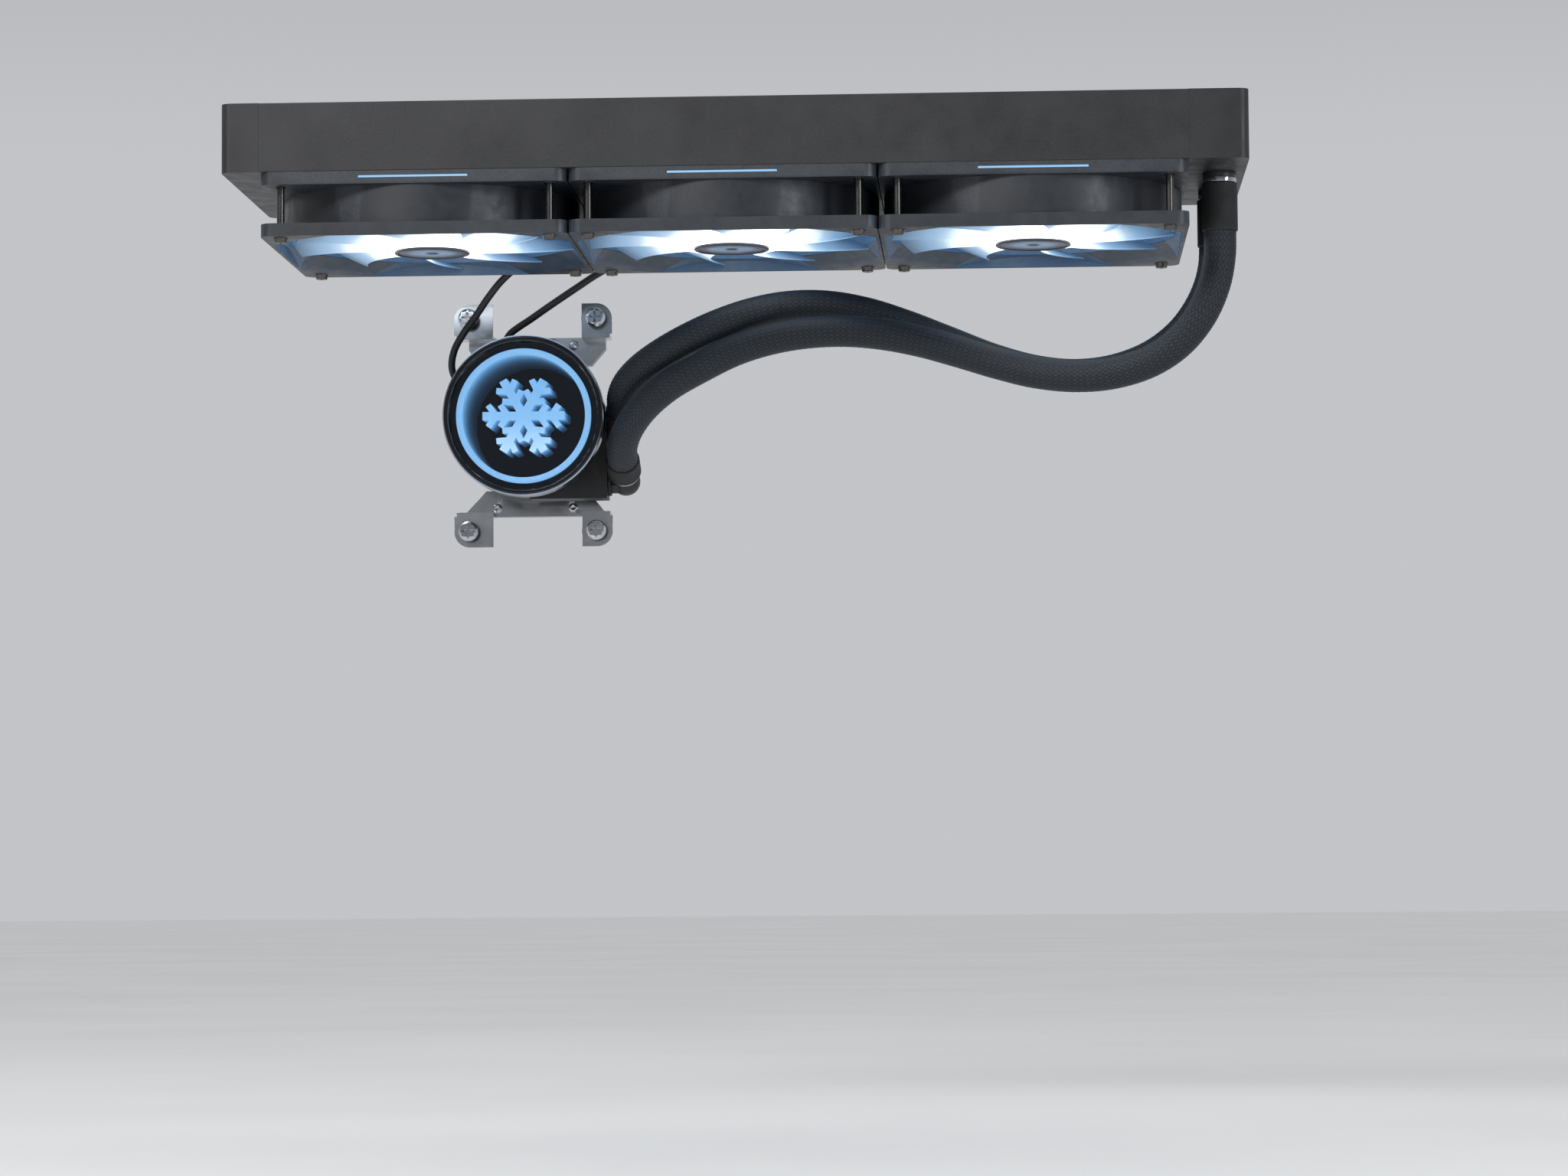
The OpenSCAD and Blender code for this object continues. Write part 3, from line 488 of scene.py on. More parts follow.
# ------------------------------------------------------------------ materials
def braid_material(name, dark, light):
    """Woven sleeve: two families of slanting threads that cross over and under. The UVs run
    round the tube in 0..1 and along it in millimetres."""
    m = Nodes(name)
    sep = m.add("ShaderNodeSeparateXYZ")
    m.link(m.uv(), sep.inputs[0])
    turn = m.math("MULTIPLY", sep.outputs["X"], float(BRAID_STRANDS))
    run = m.math("DIVIDE", sep.outputs["Y"], BRAID_PITCH)
    a = m.math("ADD", turn, run)
    b = m.math("SUBTRACT", turn, run)
    over = m.math("MODULO", m.math("ADD", m.math("FLOOR", a), m.math("FLOOR", b)), 2.0)
    over = m.math("ABSOLUTE", over)
    fa = m.math("SUBTRACT", m.math("FRACT", a), 0.5)
    fb = m.math("SUBTRACT", m.math("FRACT", b), 0.5)
    bulge = m.math("SUBTRACT", 1.0, m.math("MULTIPLY", 2.2, m.math("ADD",
                   m.math("MULTIPLY", fa, fa), m.math("MULTIPLY", fb, fb))))
    mix = m.add("ShaderNodeMix", data_type="FLOAT")
    m.set(mix.inputs["Factor"], over)
    m.set(mix.inputs["A"], fa)
    m.set(mix.inputs["B"], fb)
    thread = m.math("SINE", m.math("MULTIPLY", mix.outputs["Result"], 19.0))
    height = m.math("ADD", bulge, m.math("MULTIPLY", thread, 0.12))
    fuzz = m.noise(m.place(), 2600.0, 3.0)
    # Painted shade and highlight: lighter on the crown of each thread, darker in the gaps, and one
    # family of threads lighter than the other.
    shade = m.math("MULTIPLY", m.math("ADD", m.math("MULTIPLY", over, 0.35), 0.55),
                   m.math("ADD", bulge, m.math("MULTIPLY", fuzz, 0.4)))
    # The blue sheen tint is a painted blue highlight, for the fans' light on the sleeve.
    m.principled(
        Base_Color=m.ramp(shade, ((0.15, dark), (0.95, light))),
        Roughness=m.spread(m.math("ADD", fuzz, m.math("MULTIPLY", over, 0.25)), 0.3, 1.0,
                           0.42, 0.66),
        Specular_IOR_Level=0.4,
        Sheen_Weight=0.07, Sheen_Roughness=0.35, Sheen_Tint=(0.45, 0.65, 1.0),
        Normal=m.bump(height, 0.9, 0.00022))
    return m.mat


def blade_material(name, cx):
    """Frosted blade lit from its hub: white near the hub, steel blue at the tip."""
    m = Nodes(name)
    r = m.radius(cx * MM)
    reach = m.spread(r, HUB_R * MM, BLADE_TIP * MM, 0.0, 1.0)
    cloud = m.math("MULTIPLY", m.math("SUBTRACT", m.noise(m.place(), 220.0, 4.0), 0.5), 0.05)
    at = m.math("ADD", reach, cloud, clamp=True)
    glow = m.ramp(at, ((0.0, (1.0, 1.0, 1.0)), (0.34, (0.78, 0.91, 1.0)),
                       (0.62, (0.30, 0.56, 0.88)), (1.0, (0.08, 0.20, 0.38))), "EASE")
    power = m.ramp(at, ((0.0, (1.0, 1.0, 1.0)), (0.20, (0.55, 0.55, 0.55)),
                        (0.46, (0.20, 0.20, 0.20)), (1.0, (0.09, 0.09, 0.09))))
    # The emission is painted light: the hub LEDs' light glowing through the frosted blades. The base
    # colour, paler near the hub, is painted with the same light.
    m.principled(
        Base_Color=m.ramp(at, ((0.0, (0.50, 0.60, 0.70)), (1.0, (0.13, 0.20, 0.30)))),
        Roughness=m.spread(m.noise(m.place(), 900.0, 3.0), 0.3, 0.7, 0.42, 0.58),
        Emission_Color=glow, Emission_Strength=m.math("MULTIPLY", power, 2.6),
        Normal=m.bump(m.noise(m.place(), 5200.0, 2.0), 0.15, 0.00006))
    return m.mat


def glow_material(name, colour, strength, mottle=0.06, base=(0.75, 0.85, 0.95)):
    """A milky lit diffuser with slight unevenness in its light."""
    m = Nodes(name)
    even = m.noise(m.place(), 140.0, 4.0)
    low = tuple(c * (1 - mottle) for c in colour)
    m.principled(
        Base_Color=base,
        Roughness=m.spread(m.noise(m.place(), 700.0), 0.3, 0.7, 0.3, 0.45),
        Emission_Color=m.ramp(even, ((0.3, low), (0.7, colour))),
        Emission_Strength=strength)
    return m.mat


def star_material(name):
    """The lit star: pale at its lower points, deeper blue towards its upper ones."""
    m = Nodes(name)
    sep = m.add("ShaderNodeSeparateXYZ")
    m.link(m.place(), sep.inputs[0])
    cloud = m.math("MULTIPLY", m.noise(m.place(), 260.0, 4.0), 0.10)
    low, high = (PUMP_Z - STAR_ARM) * MM, (PUMP_Z + STAR_ARM) * MM
    rise = m.math("ADD", m.spread(sep.outputs["Z"], low, high, 0.0, 0.95), cloud)
    tint = m.ramp(rise, ((0.05, (0.56, 0.80, 1.0)), (0.45, (0.29, 0.56, 0.88)),
                         (1.0, (0.21, 0.47, 0.80))))
    m.principled(
        Base_Color=UNLIT_DIFFUSER,
        Roughness=m.spread(m.noise(m.place(), 700.0), 0.3, 0.7, 0.3, 0.45),
        Emission_Color=tint, Emission_Strength=1.0)
    return m.mat


def frame_material(name):
    """Dark moulded fan frame, with painted light from the blades: the bevel of its mouth glows blue,
    most of all in a flared panel at the middle of each side, and so does the duct wall above it."""
    pitch = FAN_PITCH * MM
    bevel_low, bevel_high = (FAN_BOTTOM - 0.2) * MM, (FAN_BOTTOM + FLANGE + 0.2) * MM
    underside = (FAN_BOTTOM + 0.02) * MM
    m = Nodes(name)
    sep = m.add("ShaderNodeSeparateXYZ")
    m.link(m.place(), sep.inputs[0])
    step = m.math("DIVIDE", m.math("ADD", sep.outputs["X"], 1.5 * pitch), pitch)
    x = m.math("ABSOLUTE", m.math("MULTIPLY", m.math("SUBTRACT", m.math("FRACT", step), 0.5),
                                  pitch))
    y = m.math("ABSOLUTE", sep.outputs["Y"])
    z = sep.outputs["Z"]
    inside = m.math("LESS_THAN", m.math("MAXIMUM", x, y), MOUTH_HALF * MM)
    bevel = m.math("MULTIPLY", inside, m.spread(z, bevel_low, bevel_high, 1.0, 0.55))
    bevel = m.math("MULTIPLY", bevel, m.math("LESS_THAN", z, bevel_high))
    bevel = m.math("MULTIPLY", bevel, m.math("GREATER_THAN", z, underside))
    above = m.math("SUBTRACT", z, (FAN_BOTTOM + FLANGE) * MM)
    flare = m.math("SUBTRACT", PANEL_HALF * MM, m.math("MULTIPLY", above, PANEL_FLARE))
    panel = m.math("LESS_THAN", m.math("MINIMUM", x, y), flare)
    duct = m.math("MULTIPLY", m.math("GREATER_THAN", z, bevel_high),
                  m.math("LESS_THAN", m.math("SQRT", m.math("ADD", m.math("MULTIPLY", x, x),
                         m.math("MULTIPLY", y, y))), DUCT_R * MM))
    glow = m.math("MULTIPLY", bevel, m.math("ADD", BEVEL_GLOW, m.math("MULTIPLY", panel, PANEL_GLOW)))
    tint = m.ramp(m.noise(m.place(), 70.0, 4.0), ((0.3, (0.016, 0.019, 0.024)),
                                                  (0.7, (0.026, 0.030, 0.037))))
    m.principled(
        Base_Color=edge_wear(m, tint, (0.12, 0.13, 0.15), 0.4),
        Roughness=m.spread(m.noise(m.place(), 260.0, 4.0), 0.3, 0.7, 0.36, 0.5),
        Emission_Color=(0.13, 0.33, 0.66),
        Emission_Strength=m.math("ADD", glow, m.math("MULTIPLY", duct, DUCT_GLOW)),
        Normal=m.bump(m.noise(m.place(), 4200.0, 2.0), 0.12, 0.00008))
    return m.mat


def badge_material(name, cx):
    """Dark hub disc with a darker rim, a lighter turned band and a dark middle; the lighter band and
    the disc's faint glow are painted light from the fan's LEDs behind it.
    """
    m = Nodes(name)
    r = m.spread(m.radius(cx * MM), 0.0, BADGE_R * MM, 0.0, 1.0)
    tint = m.ramp(r, ((0.0, (0.012, 0.02, 0.035)), (0.14, (0.02, 0.035, 0.06)),
                      (0.24, (0.13, 0.20, 0.30)), (0.52, (0.10, 0.16, 0.25)),
                      (0.70, (0.025, 0.04, 0.065)), (1.0, (0.006, 0.010, 0.017))))
    turned = m.math("SINE", m.math("MULTIPLY", r, 190.0))
    m.principled(
        Base_Color=tint,
        Roughness=m.spread(m.noise(m.place(), 300.0, 4.0), 0.3, 0.7, 0.28, 0.42),
        # Painted light: the disc glows faintly in its own colours.
        Emission_Color=tint, Emission_Strength=0.6,
        Normal=m.bump(turned, 0.12, 0.00005))
    return m.mat


def glass_material(name):
    """Faintly blue glass with a few smears, clear enough to show the ring and star behind it."""
    m = Nodes(name)
    smear = m.noise(m.place(), 60.0, 5.0)
    m.principled(
        Base_Color=(0.86, 0.93, 1.0), Transmission_Weight=1.0, IOR=1.2,
        Roughness=m.spread(smear, 0.3, 0.7, 0.0, 0.03))
    return m.mat


MAT = {
    "paint": painted("powder_coat", (0.010, 0.010, 0.011), (0.020, 0.020, 0.022), 0.38, 0.52),
    "core": painted("core_paint", (0.012, 0.012, 0.013), (0.024, 0.024, 0.026), 0.40, 0.55),
    "fitting": painted("fitting_paint", (0.014, 0.014, 0.015), (0.026, 0.026, 0.028), 0.3, 0.42),
    "frame": frame_material("fan_frame"),
    "plastic": plastic("black_plastic", (0.008, 0.008, 0.009), (0.018, 0.018, 0.020), 0.4, 0.55),
    "gloss": plastic("gloss_black", (0.004, 0.004, 0.005), (0.008, 0.008, 0.010), 0.10, 0.2,
                     grain=900.0, strength=0.02),
    "rubber": plastic("rubber", (0.008, 0.008, 0.008), (0.015, 0.015, 0.016), 0.62, 0.78),
    "cable": plastic("cable_jacket", (0.008, 0.008, 0.009), (0.018, 0.018, 0.02), 0.45, 0.6),
    "white": plastic("white_plastic", (0.62, 0.62, 0.60), (0.74, 0.74, 0.72), 0.4, 0.5),
    "chrome": metal("bright_steel", (0.54, 0.56, 0.60), (0.66, 0.68, 0.72), 0.10, 0.20,
                    scratch=0.03, hollow_shade=0.95),
    "bracket": metal("polished_bracket", (0.50, 0.52, 0.55), (0.58, 0.60, 0.63), 0.14, 0.24,
                     brush=(0.08, 1.0, 1.6), scratch=0.05),
    "screw": metal("black_screw", (0.09, 0.085, 0.08), (0.12, 0.115, 0.11), 0.24, 0.3,
                   scratch=0.0, hollow_shade=0.9),
    "steel": metal("drawn_steel", (0.32, 0.32, 0.34), (0.48, 0.48, 0.50), 0.25, 0.42),
    "copper": metal("machined_copper", (0.72, 0.34, 0.18), (0.88, 0.48, 0.30), 0.14, 0.3,
                    brush=(1.0, 0.05, 1.0), scratch=0.25),
    "bronze": metal("sintered_bronze", (0.42, 0.28, 0.12), (0.58, 0.40, 0.18), 0.4, 0.55),
    "winding": metal("winding_wire", (0.55, 0.24, 0.08), (0.78, 0.40, 0.16), 0.25, 0.4,
                     brush=(0.2, 0.2, 3.0), scratch=0.5),
    "board": plastic("circuit_board", (0.006, 0.030, 0.018), (0.012, 0.05, 0.03), 0.3, 0.45),
    "ceramic": plastic("ceramic", (0.70, 0.69, 0.66), (0.80, 0.79, 0.76), 0.2, 0.3),
    "braid": braid_material("braided_sleeve", (0.002, 0.003, 0.004), (0.022, 0.028, 0.038)),
    "glass": glass_material("cap_glass"),
    "lit": glow_material("lit_ring", (0.24, 0.50, 0.81), 1.0, base=UNLIT_DIFFUSER),
    "star": star_material("lit_star"),
    "lit_board": glow_material("fan_lights", ICE, 3.0),
    "mirror": plastic("rear_mirror", (0.001, 0.002, 0.004), (0.002, 0.004, 0.008), 0.04, 0.08,
                      strength=0.0),
    "rim": metal("bezel_rim", (0.30, 0.38, 0.50), (0.45, 0.55, 0.70), 0.16, 0.28),
}


# ------------------------------------------------------------------ hoses
def strand_height(s, a):
    """Height of the weave at a place on a hose, 0 to 1."""
    turn, run = BRAID_STRANDS * a / (2 * math.pi), s / BRAID_PITCH
    fa = (turn + run) % 1.0 - 0.5
    fb = (turn - run) % 1.0 - 0.5
    return max(0.0, 1 - 2.2 * (fa * fa + fb * fb))


def hose(name, route, cad_node):
    """A braided hose along its route, with the weave in the mesh itself."""
    path = smooth_path(route, 0.45)
    sides = 96
    low = (HOSE_D - WEAVE_RELIEF) / 2
    verts, faces, uvs = swept(path, lambda s, a: low + WEAVE_RELIEF * strand_height(s, a), sides)
    obj = new_piece(name, verts, faces, "cooler", angle=70)
    give_uvs(obj, uvs, sides)
    paint(obj, MAT["braid"])
    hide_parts(cad_node)


hose("front_hose", FRONT_ROUTE, "hose_front")
hose("rear_hose", REAR_ROUTE, "hose_rear")


# ------------------------------------------------------------------ cables
def hank_path(x, y, turns):
    """Centreline of a flat oval coil that starts at its lower left and ends at its right side."""
    out = []
    arc = [k * math.pi / 12 for k in range(1, 12)]
    for t in range(turns + 1):
        base = y - HANK_PITCH * t
        low, high = HANK_Z - HANK_LOOP_R, HANK_Z + HANK_LOOP_R
        right, left = x + HANK_HALF_RUN, x - HANK_HALF_RUN
        for k in range(5):
            out.append((left + 2 * HANK_HALF_RUN * k / 4, base, low))
        if t == turns:
            out.append((x + HANK_END - 3, base, low))
            out.append((x + HANK_END, base, low))
            break
        drop = HANK_PITCH / 2
        for a in arc:
            out.append((right + HANK_LOOP_R * math.sin(a), base - drop * a / math.pi,
                        HANK_Z - HANK_LOOP_R * math.cos(a)))
        for k in range(5):
            out.append((right - 2 * HANK_HALF_RUN * k / 4, base - drop, high))
        for a in arc:
            out.append((left - HANK_LOOP_R * math.sin(a), base - drop - drop * a / math.pi,
                        HANK_Z + HANK_LOOP_R * math.cos(a)))
    return out


def cable(name, route, hank_x, cad_nodes):
    """One pump cable: its visible run and its tied hank behind the fans."""
    path = smooth_path(list(route) + hank_path(hank_x, route[-1][1], HANK_TURNS), 1.0)
    sides = 14
    verts, faces, uvs = swept(path, lambda s, a: CABLE_D / 2, sides)
    obj = new_piece(name, verts, faces, "cooler", angle=60)
    give_uvs(obj, uvs, sides)
    paint(obj, MAT["cable"])
    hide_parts(*cad_nodes)


cable("pump_power_cable", POWER_ROUTE, POWER_HANK_X, ("power_cable", "power_hank"))
cable("pump_light_cable", LIGHT_ROUTE, LIGHT_HANK_X, ("light_cable", "light_hank"))


# ------------------------------------------------------------------ fans
def blade_mesh(cx, phase):
    """One curved blade with a rounded thickness, from the hub out to the tip."""
    radial, chordwise = 11, 12
    verts, faces = [], []
    for side in (1, -1):
        for i in range(radial + 1):
            t = i / radial
            r = HUB_R - BLADE_ROOT + (BLADE_TIP - HUB_R + BLADE_ROOT) * t
            span = math.radians(BLADE_SPAN[0] + BLADE_SPAN[1] * t)
            sweep = math.radians(BLADE_SWEEP * t ** 1.6)
            rise = BLADE_RISE[0] + BLADE_RISE[1] * t
            taper = BLADE_TAPER[0] + BLADE_TAPER[1] * t
            for k in range(chordwise + 1):
                c = k / chordwise
                angle = phase + sweep + (c - 0.5) * span
                camber = BLADE_CAMBER * math.sin(math.pi * c)
                # Blunt at both edges, so the sine starts and ends a little above zero
                thick = BLADE_THICK * taper * math.sin(math.pi * (0.04 + 0.92 * c)) ** 0.4
                z = BLADE_MID + (c - 0.5) * rise + camber + side * thick
                verts.append((cx + r * math.cos(angle), r * math.sin(angle), z))
    row, layer = chordwise + 1, (radial + 1) * (chordwise + 1)
    for i in range(radial):
        for k in range(chordwise):
            a = i * row + k
            faces.append((a, a + 1, a + row + 1, a + row))
            b = a + layer
            faces.append((b, b + row, b + row + 1, b + 1))
    rim = ([(0, k) for k in range(row)] + [(i, chordwise) for i in range(1, radial + 1)]
           + [(radial, k) for k in reversed(range(chordwise))]
           + [(i, 0) for i in reversed(range(1, radial))])
    for (i, k), (j, n) in zip(rim, rim[1:] + rim[:1]):
        a, b = i * row + k, j * row + n
        faces.append((b, a, a + layer, b + layer))
    return verts, faces


def impeller(i):
    """Hub cup and blades of one fan, as one moulding."""
    cx = FAN_X[i]
    inner, web_top = HUB_R - HUB_WALL, HUB_BOTTOM + 1.6
    outline = rounded([(AXIS, HUB_BOTTOM), (HUB_R, HUB_BOTTOM), (HUB_R, HUB_TOP),
                       (inner, HUB_TOP), (inner, web_top), (AXIS, web_top)], HUB_ROUND)
    verts, faces = spin(outline, 72)
    verts = [(cx + x, y, z) for x, y, z in verts]
    for b in range(BLADES):
        more, quads = blade_mesh(cx, 2 * math.pi * b / BLADES + FAN_STAGGER * i)
        start = len(verts)
        verts += more
        faces += [tuple(start + v for v in f) for f in quads]
    obj = new_piece(f"fan_{i + 1}_blades", verts, faces, f"fan_{i + 1}_rotor",
                    angle=45)
    paint(obj, blade_material(f"frosted_blades_{i + 1}", cx))
    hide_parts(f"fan_{i + 1}_impeller")


def hub_badge(i):
    """Dark disc on the hub: a raised rim, a shallow dish with turned rings and a centre stud."""
    cx = FAN_X[i]
    z = HUB_BOTTOM
    outline = [(AXIS, z - 0.9), (1.6, z - 0.9), (2.2, z - 0.55)]
    for k in range(BADGE_GROOVES):
        r = 2.6 + k * GROOVE_PITCH
        outline += [(r, z - 0.5), (r + 0.5, z - 0.62)]
    outline += [(BADGE_R - 1.6, z - 0.45), (BADGE_R - 1.1, z - 1.0), (BADGE_R - 0.3, z - 1.0),
                (BADGE_R, z - 0.7), (BADGE_R, z + 0.1), (AXIS, z + 0.1)]
    verts, faces = spin(outline, 96)
    obj = new_piece(f"fan_{i + 1}_badge", [(cx + x, y, h) for x, y, h in verts], faces,
                    f"fan_{i + 1}_rotor", angle=30)
    paint(obj, badge_material(f"hub_badge_{i + 1}", cx))


for fan in range(3):
    impeller(fan)
    hub_badge(fan)


# ------------------------------------------------------------------ radiator
def fin_packs():
    """Folded fins between the tubes, finer than the coarse CAD folds that they replace."""
    low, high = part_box("fin_packs")
    tube_low, tube_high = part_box("core_tubes")
    z0, z1 = low.z / MM, high.z / MM
    width = (high.y - low.y) / MM
    fin_h = (width - TUBES * TUBE_T) / (TUBES + 1)
    pitch = FIN_PITCH * 1
    x0, x1 = tube_low.x / MM + TUBE_INSET, tube_high.x / MM - TUBE_INSET
    folds = int((x1 - x0) / pitch)
    verts, faces = [], []
    for row in range(TUBES + 1):
        y0 = low.y / MM + row * (fin_h + TUBE_T)
        line = []
        for k in range(2 * folds):
            y = y0 + (fin_h - FIN_SHEET if k % 2 else 0.0)
            x = x0 + k * pitch / 2
            line += [(x + 0.12 * pitch, y), (x + 0.38 * pitch, y)]
        start = len(verts)
        for x, y in line:
            far = y + FIN_SHEET
            verts += [(x, y, z0), (x, y, z1), (x, far, z1), (x, far, z0)]
        for k in range(len(line) - 1):
            a = start + 4 * k
            for c in range(4):
                d = (c + 1) % 4
                faces.append((a + c, a + d, a + 4 + d, a + 4 + c))
        end = start + 4 * (len(line) - 1)
        faces.append((start + 3, start + 2, start + 1, start))
        faces.append((end, end + 1, end + 2, end + 3))
    obj = new_piece("radiator_fins", verts, faces, "cooler", smooth=False)
    paint(obj, MAT["core"])
    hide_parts("fin_packs")


fin_packs()


# ------------------------------------------------------------------ pump cap
def painted_reflections(name, outline_at, copies, near, deep):
    """Painted reflections of a lit shape: dimmer glowing repeats, from the colour near to the colour
    deep, each further behind the half-mirror than the last."""
    for k in range(1, copies + 1):
        verts, faces = outline_at(k)
        obj = new_piece(f"{name}_{k}", verts, faces, "cooler", smooth=False)
        sheet = obj.modifiers.new("sheet", "SOLIDIFY")
        sheet.thickness = TRAIL_SHEET * MM
        t = (k - 1) / (copies - 1)
        tint = tuple(a * (1 - t) + b * t for a, b in zip(near, deep))
        paint(obj, glow_material(f"{name}_glow_{k}", tint, TRAIL_POWER * TRAIL_FADE ** (k - 1),
                                 mottle=0.08, base=(0.004, 0.008, 0.015)))


def ring_reflection(k):
    """One painted reflection of the lit ring: a flat glowing ring behind it, cut off where the lit
    ring's outer edge hides it.
    """
    cx, cz = PUMP_X + RING_STEP[0] * k, PUMP_Z + RING_STEP[1] * k
    outer = RING_R * (1 - RING_SHRINK * k)
    inner = outer - RING_W
    y = TRAIL_Y + TRAIL_GAP * k
    verts, faces = [], []
    steps = 128
    for i in range(steps):
        a = 2 * math.pi * i / steps
        for r in (inner, outer):
            x, z = cx + r * math.cos(a), cz + r * math.sin(a)
            far = math.hypot(x - PUMP_X, z - PUMP_Z)
            limit = min(1.0, (RING_R - RING_COVER) / far)
            verts.append((PUMP_X + (x - PUMP_X) * limit, y, PUMP_Z + (z - PUMP_Z) * limit))
    for i in range(steps):
        j = (i + 1) % steps
        faces.append((2 * i, 2 * i + 1, 2 * j + 1, 2 * j))
    return verts, faces


painted_reflections("painted_ring_reflection", ring_reflection, RING_REFLECTIONS, near=(0.18, 0.44, 0.77), deep=(0.02, 0.12, 0.34))


def star_reflection(k):
    """One painted reflection of the frost star: the star again, moved a little and set deeper."""
    verts, faces = [], []
    cx, cz = PUMP_X + STAR_STEP[0] * k, PUMP_Z + STAR_STEP[1] * k
    y = STAR_TRAIL_Y + TRAIL_GAP * k

    def bar(base, turn, half, length, lean):
        """A flat bar that leans from an arm at height base; turn is the arm's own angle."""
        start = len(verts)
        for x, z in ((-half, 0), (half, 0), (half, length), (-half, length)):
            x, z = (x * math.cos(lean) + z * math.sin(lean),
                    base - x * math.sin(lean) + z * math.cos(lean))
            verts.append((cx + x * math.cos(turn) + z * math.sin(turn), y,
                          cz - x * math.sin(turn) + z * math.cos(turn)))
        faces.append((start, start + 1, start + 2, start + 3))

    for arm in range(6):
        turn = math.radians(30 + 60 * arm)
        bar(0.0, turn, STAR_BAR / 2, STAR_ARM, 0.0)
        for base in STAR_TWIGS:
            for side in (-1, 1):
                bar(base, turn, STAR_BAR * TWIG_BAR, TWIG_LENGTH, math.radians(TWIG_ANGLE * side))
    return verts, faces


painted_reflections("painted_star_reflection", star_reflection, STAR_REFLECTIONS, near=(0.16, 0.42, 0.78), deep=(0.03, 0.14, 0.36))


def rim_line():
    """Thin polished line round the front edge of the cap."""
    inner, middle, outer = CAP_R - 0.9, CAP_R - 0.5, CAP_R - 0.02
    y = CAP_FACE
    outline = rounded([(inner, y + 0.25), (middle, y + 0.2), (outer, y + 0.75), (outer, y + 1.2),
                       (middle, y + 1.2), (inner, y + 0.9)], 0.12)
    verts, faces = spin(outline, 160)
    obj = new_piece("cap_rim_line", about_pump(verts), faces, "cooler")
    paint(obj, MAT["rim"])


rim_line()


def light_strips():
    """Thin line of painted light near the top of each fan, on its front and back, for the LEDs' light
    leaking out under the radiator.
    """
    end, slant = STRIP_HALF, STRIP_HALF - STRIP_SLANT
    low, high = FAN_TOP - STRIP_LOWER, FAN_TOP - STRIP_UPPER
    outline = ((-end, low + 0.08), (-slant, low), (slant, low), (end, low + 0.08),
               (end, high - 0.1), (slant, high), (-slant, high), (-end, high - 0.1))
    for i, cx in enumerate(FAN_X):
        verts, faces = [], []
        for side in (-1, 1):
            y = side * (FAN_SIDE / 2 - STRIP_INSET)
            start = len(verts)
            for dy in (0.0, side * STRIP_DEEP):
                verts += [(cx + x, y + dy, z) for x, z in outline]
            n = len(outline)
            faces.append(tuple(start + k for k in range(n)))
            faces.append(tuple(start + n + k for k in reversed(range(n))))
            for k in range(n):
                j = (k + 1) % n
                faces.append((start + k, start + n + k, start + n + j, start + j))
        obj = new_piece(f"fan_{i + 1}_light_strip", verts, faces, "cooler",
                        smooth=False)
        paint(obj, MAT["lit"])


light_strips()


# ------------------------------------------------------------------ pump springs
def helix_spring(cx, cz, y0, y1):
    """A round-wire compression spring with its axis along Y."""
    path = []
    steps = int(SPRING_TURNS * 20)
    for k in range(steps + 1):
        t = k / steps
        a = 2 * math.pi * SPRING_TURNS * t
        path.append(Vector((cx + SPRING_R * math.cos(a),
                            y0 + SPRING_WIRE / 2 + (y1 - y0 - SPRING_WIRE) * t,
                            cz + SPRING_R * math.sin(a))))
    return swept(path, lambda s, a: SPRING_WIRE / 2, 8)


def springs():
    """The four mounting springs, in place of their plain CAD sleeves."""
    low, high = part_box("mount_springs")
    y0, y1 = low.y / MM, high.y / MM
    verts, faces = [], []
    for sx in (-SOCKET_HALF_X, SOCKET_HALF_X):
        for sz in (-SOCKET_HALF_Z, SOCKET_HALF_Z):
            more, quads, _ = helix_spring(PUMP_X + sx, PUMP_Z + sz, y0, y1)
            start = len(verts)
            verts += more
            faces += [tuple(start + v for v in f) for f in quads]
    obj = new_piece("spring_coils", verts, faces, "cooler", angle=60)
    paint(obj, MAT["chrome"])
    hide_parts("mount_springs")


springs()


# ------------------------------------------------------------------ CAD nodes that stay
WELD_GAP = 0.002
SOFT_EDGE_ANGLE = 32
# The nodes that take each material
FINISH = {
    "paint": ("rail_front", "rail_rear", "port_tank", "return_tank"),
    "core": ("core_tubes",),
    "fitting": ("fill_plug", "port_necks"),
    "frame": ("fan_1_frame", "fan_2_frame", "fan_3_frame"),
    "steel": ("fan_1_rotor_core", "fan_2_rotor_core", "fan_3_rotor_core"),
    "winding": ("fan_1_stator", "fan_2_stator", "fan_3_stator", "pump_stator"),
    "lit_board": ("fan_1_led_board", "fan_2_led_board", "fan_3_led_board"),
    "bronze": ("fan_bearings",),
    "screw": ("fan_screws",),
    "chrome": ("cold_plate_screws", "bracket_screws", "mount_screws", "hose_ferrules"),
    "rubber": ("hose_collars", "elbow_seals", "base_gasket", "cable_grommets"),
    "plastic": ("elbow_upper", "elbow_lower", "pump_body", "chamber_plate", "power_connector",
                "cable_ties"),
    "gloss": ("cap_bezel",),
    "mirror": ("rear_mirror",),
    "glass": ("cap_glass",),
    "lit": ("glow_ring",),
    "star": ("emblem",),
    "board": ("cap_led_board",),
    "white": ("pump_impeller", "light_connector"),
    "ceramic": ("impeller_shaft",),
    "copper": ("cold_plate",),
    "bracket": ("bracket_top", "bracket_bottom"),
}
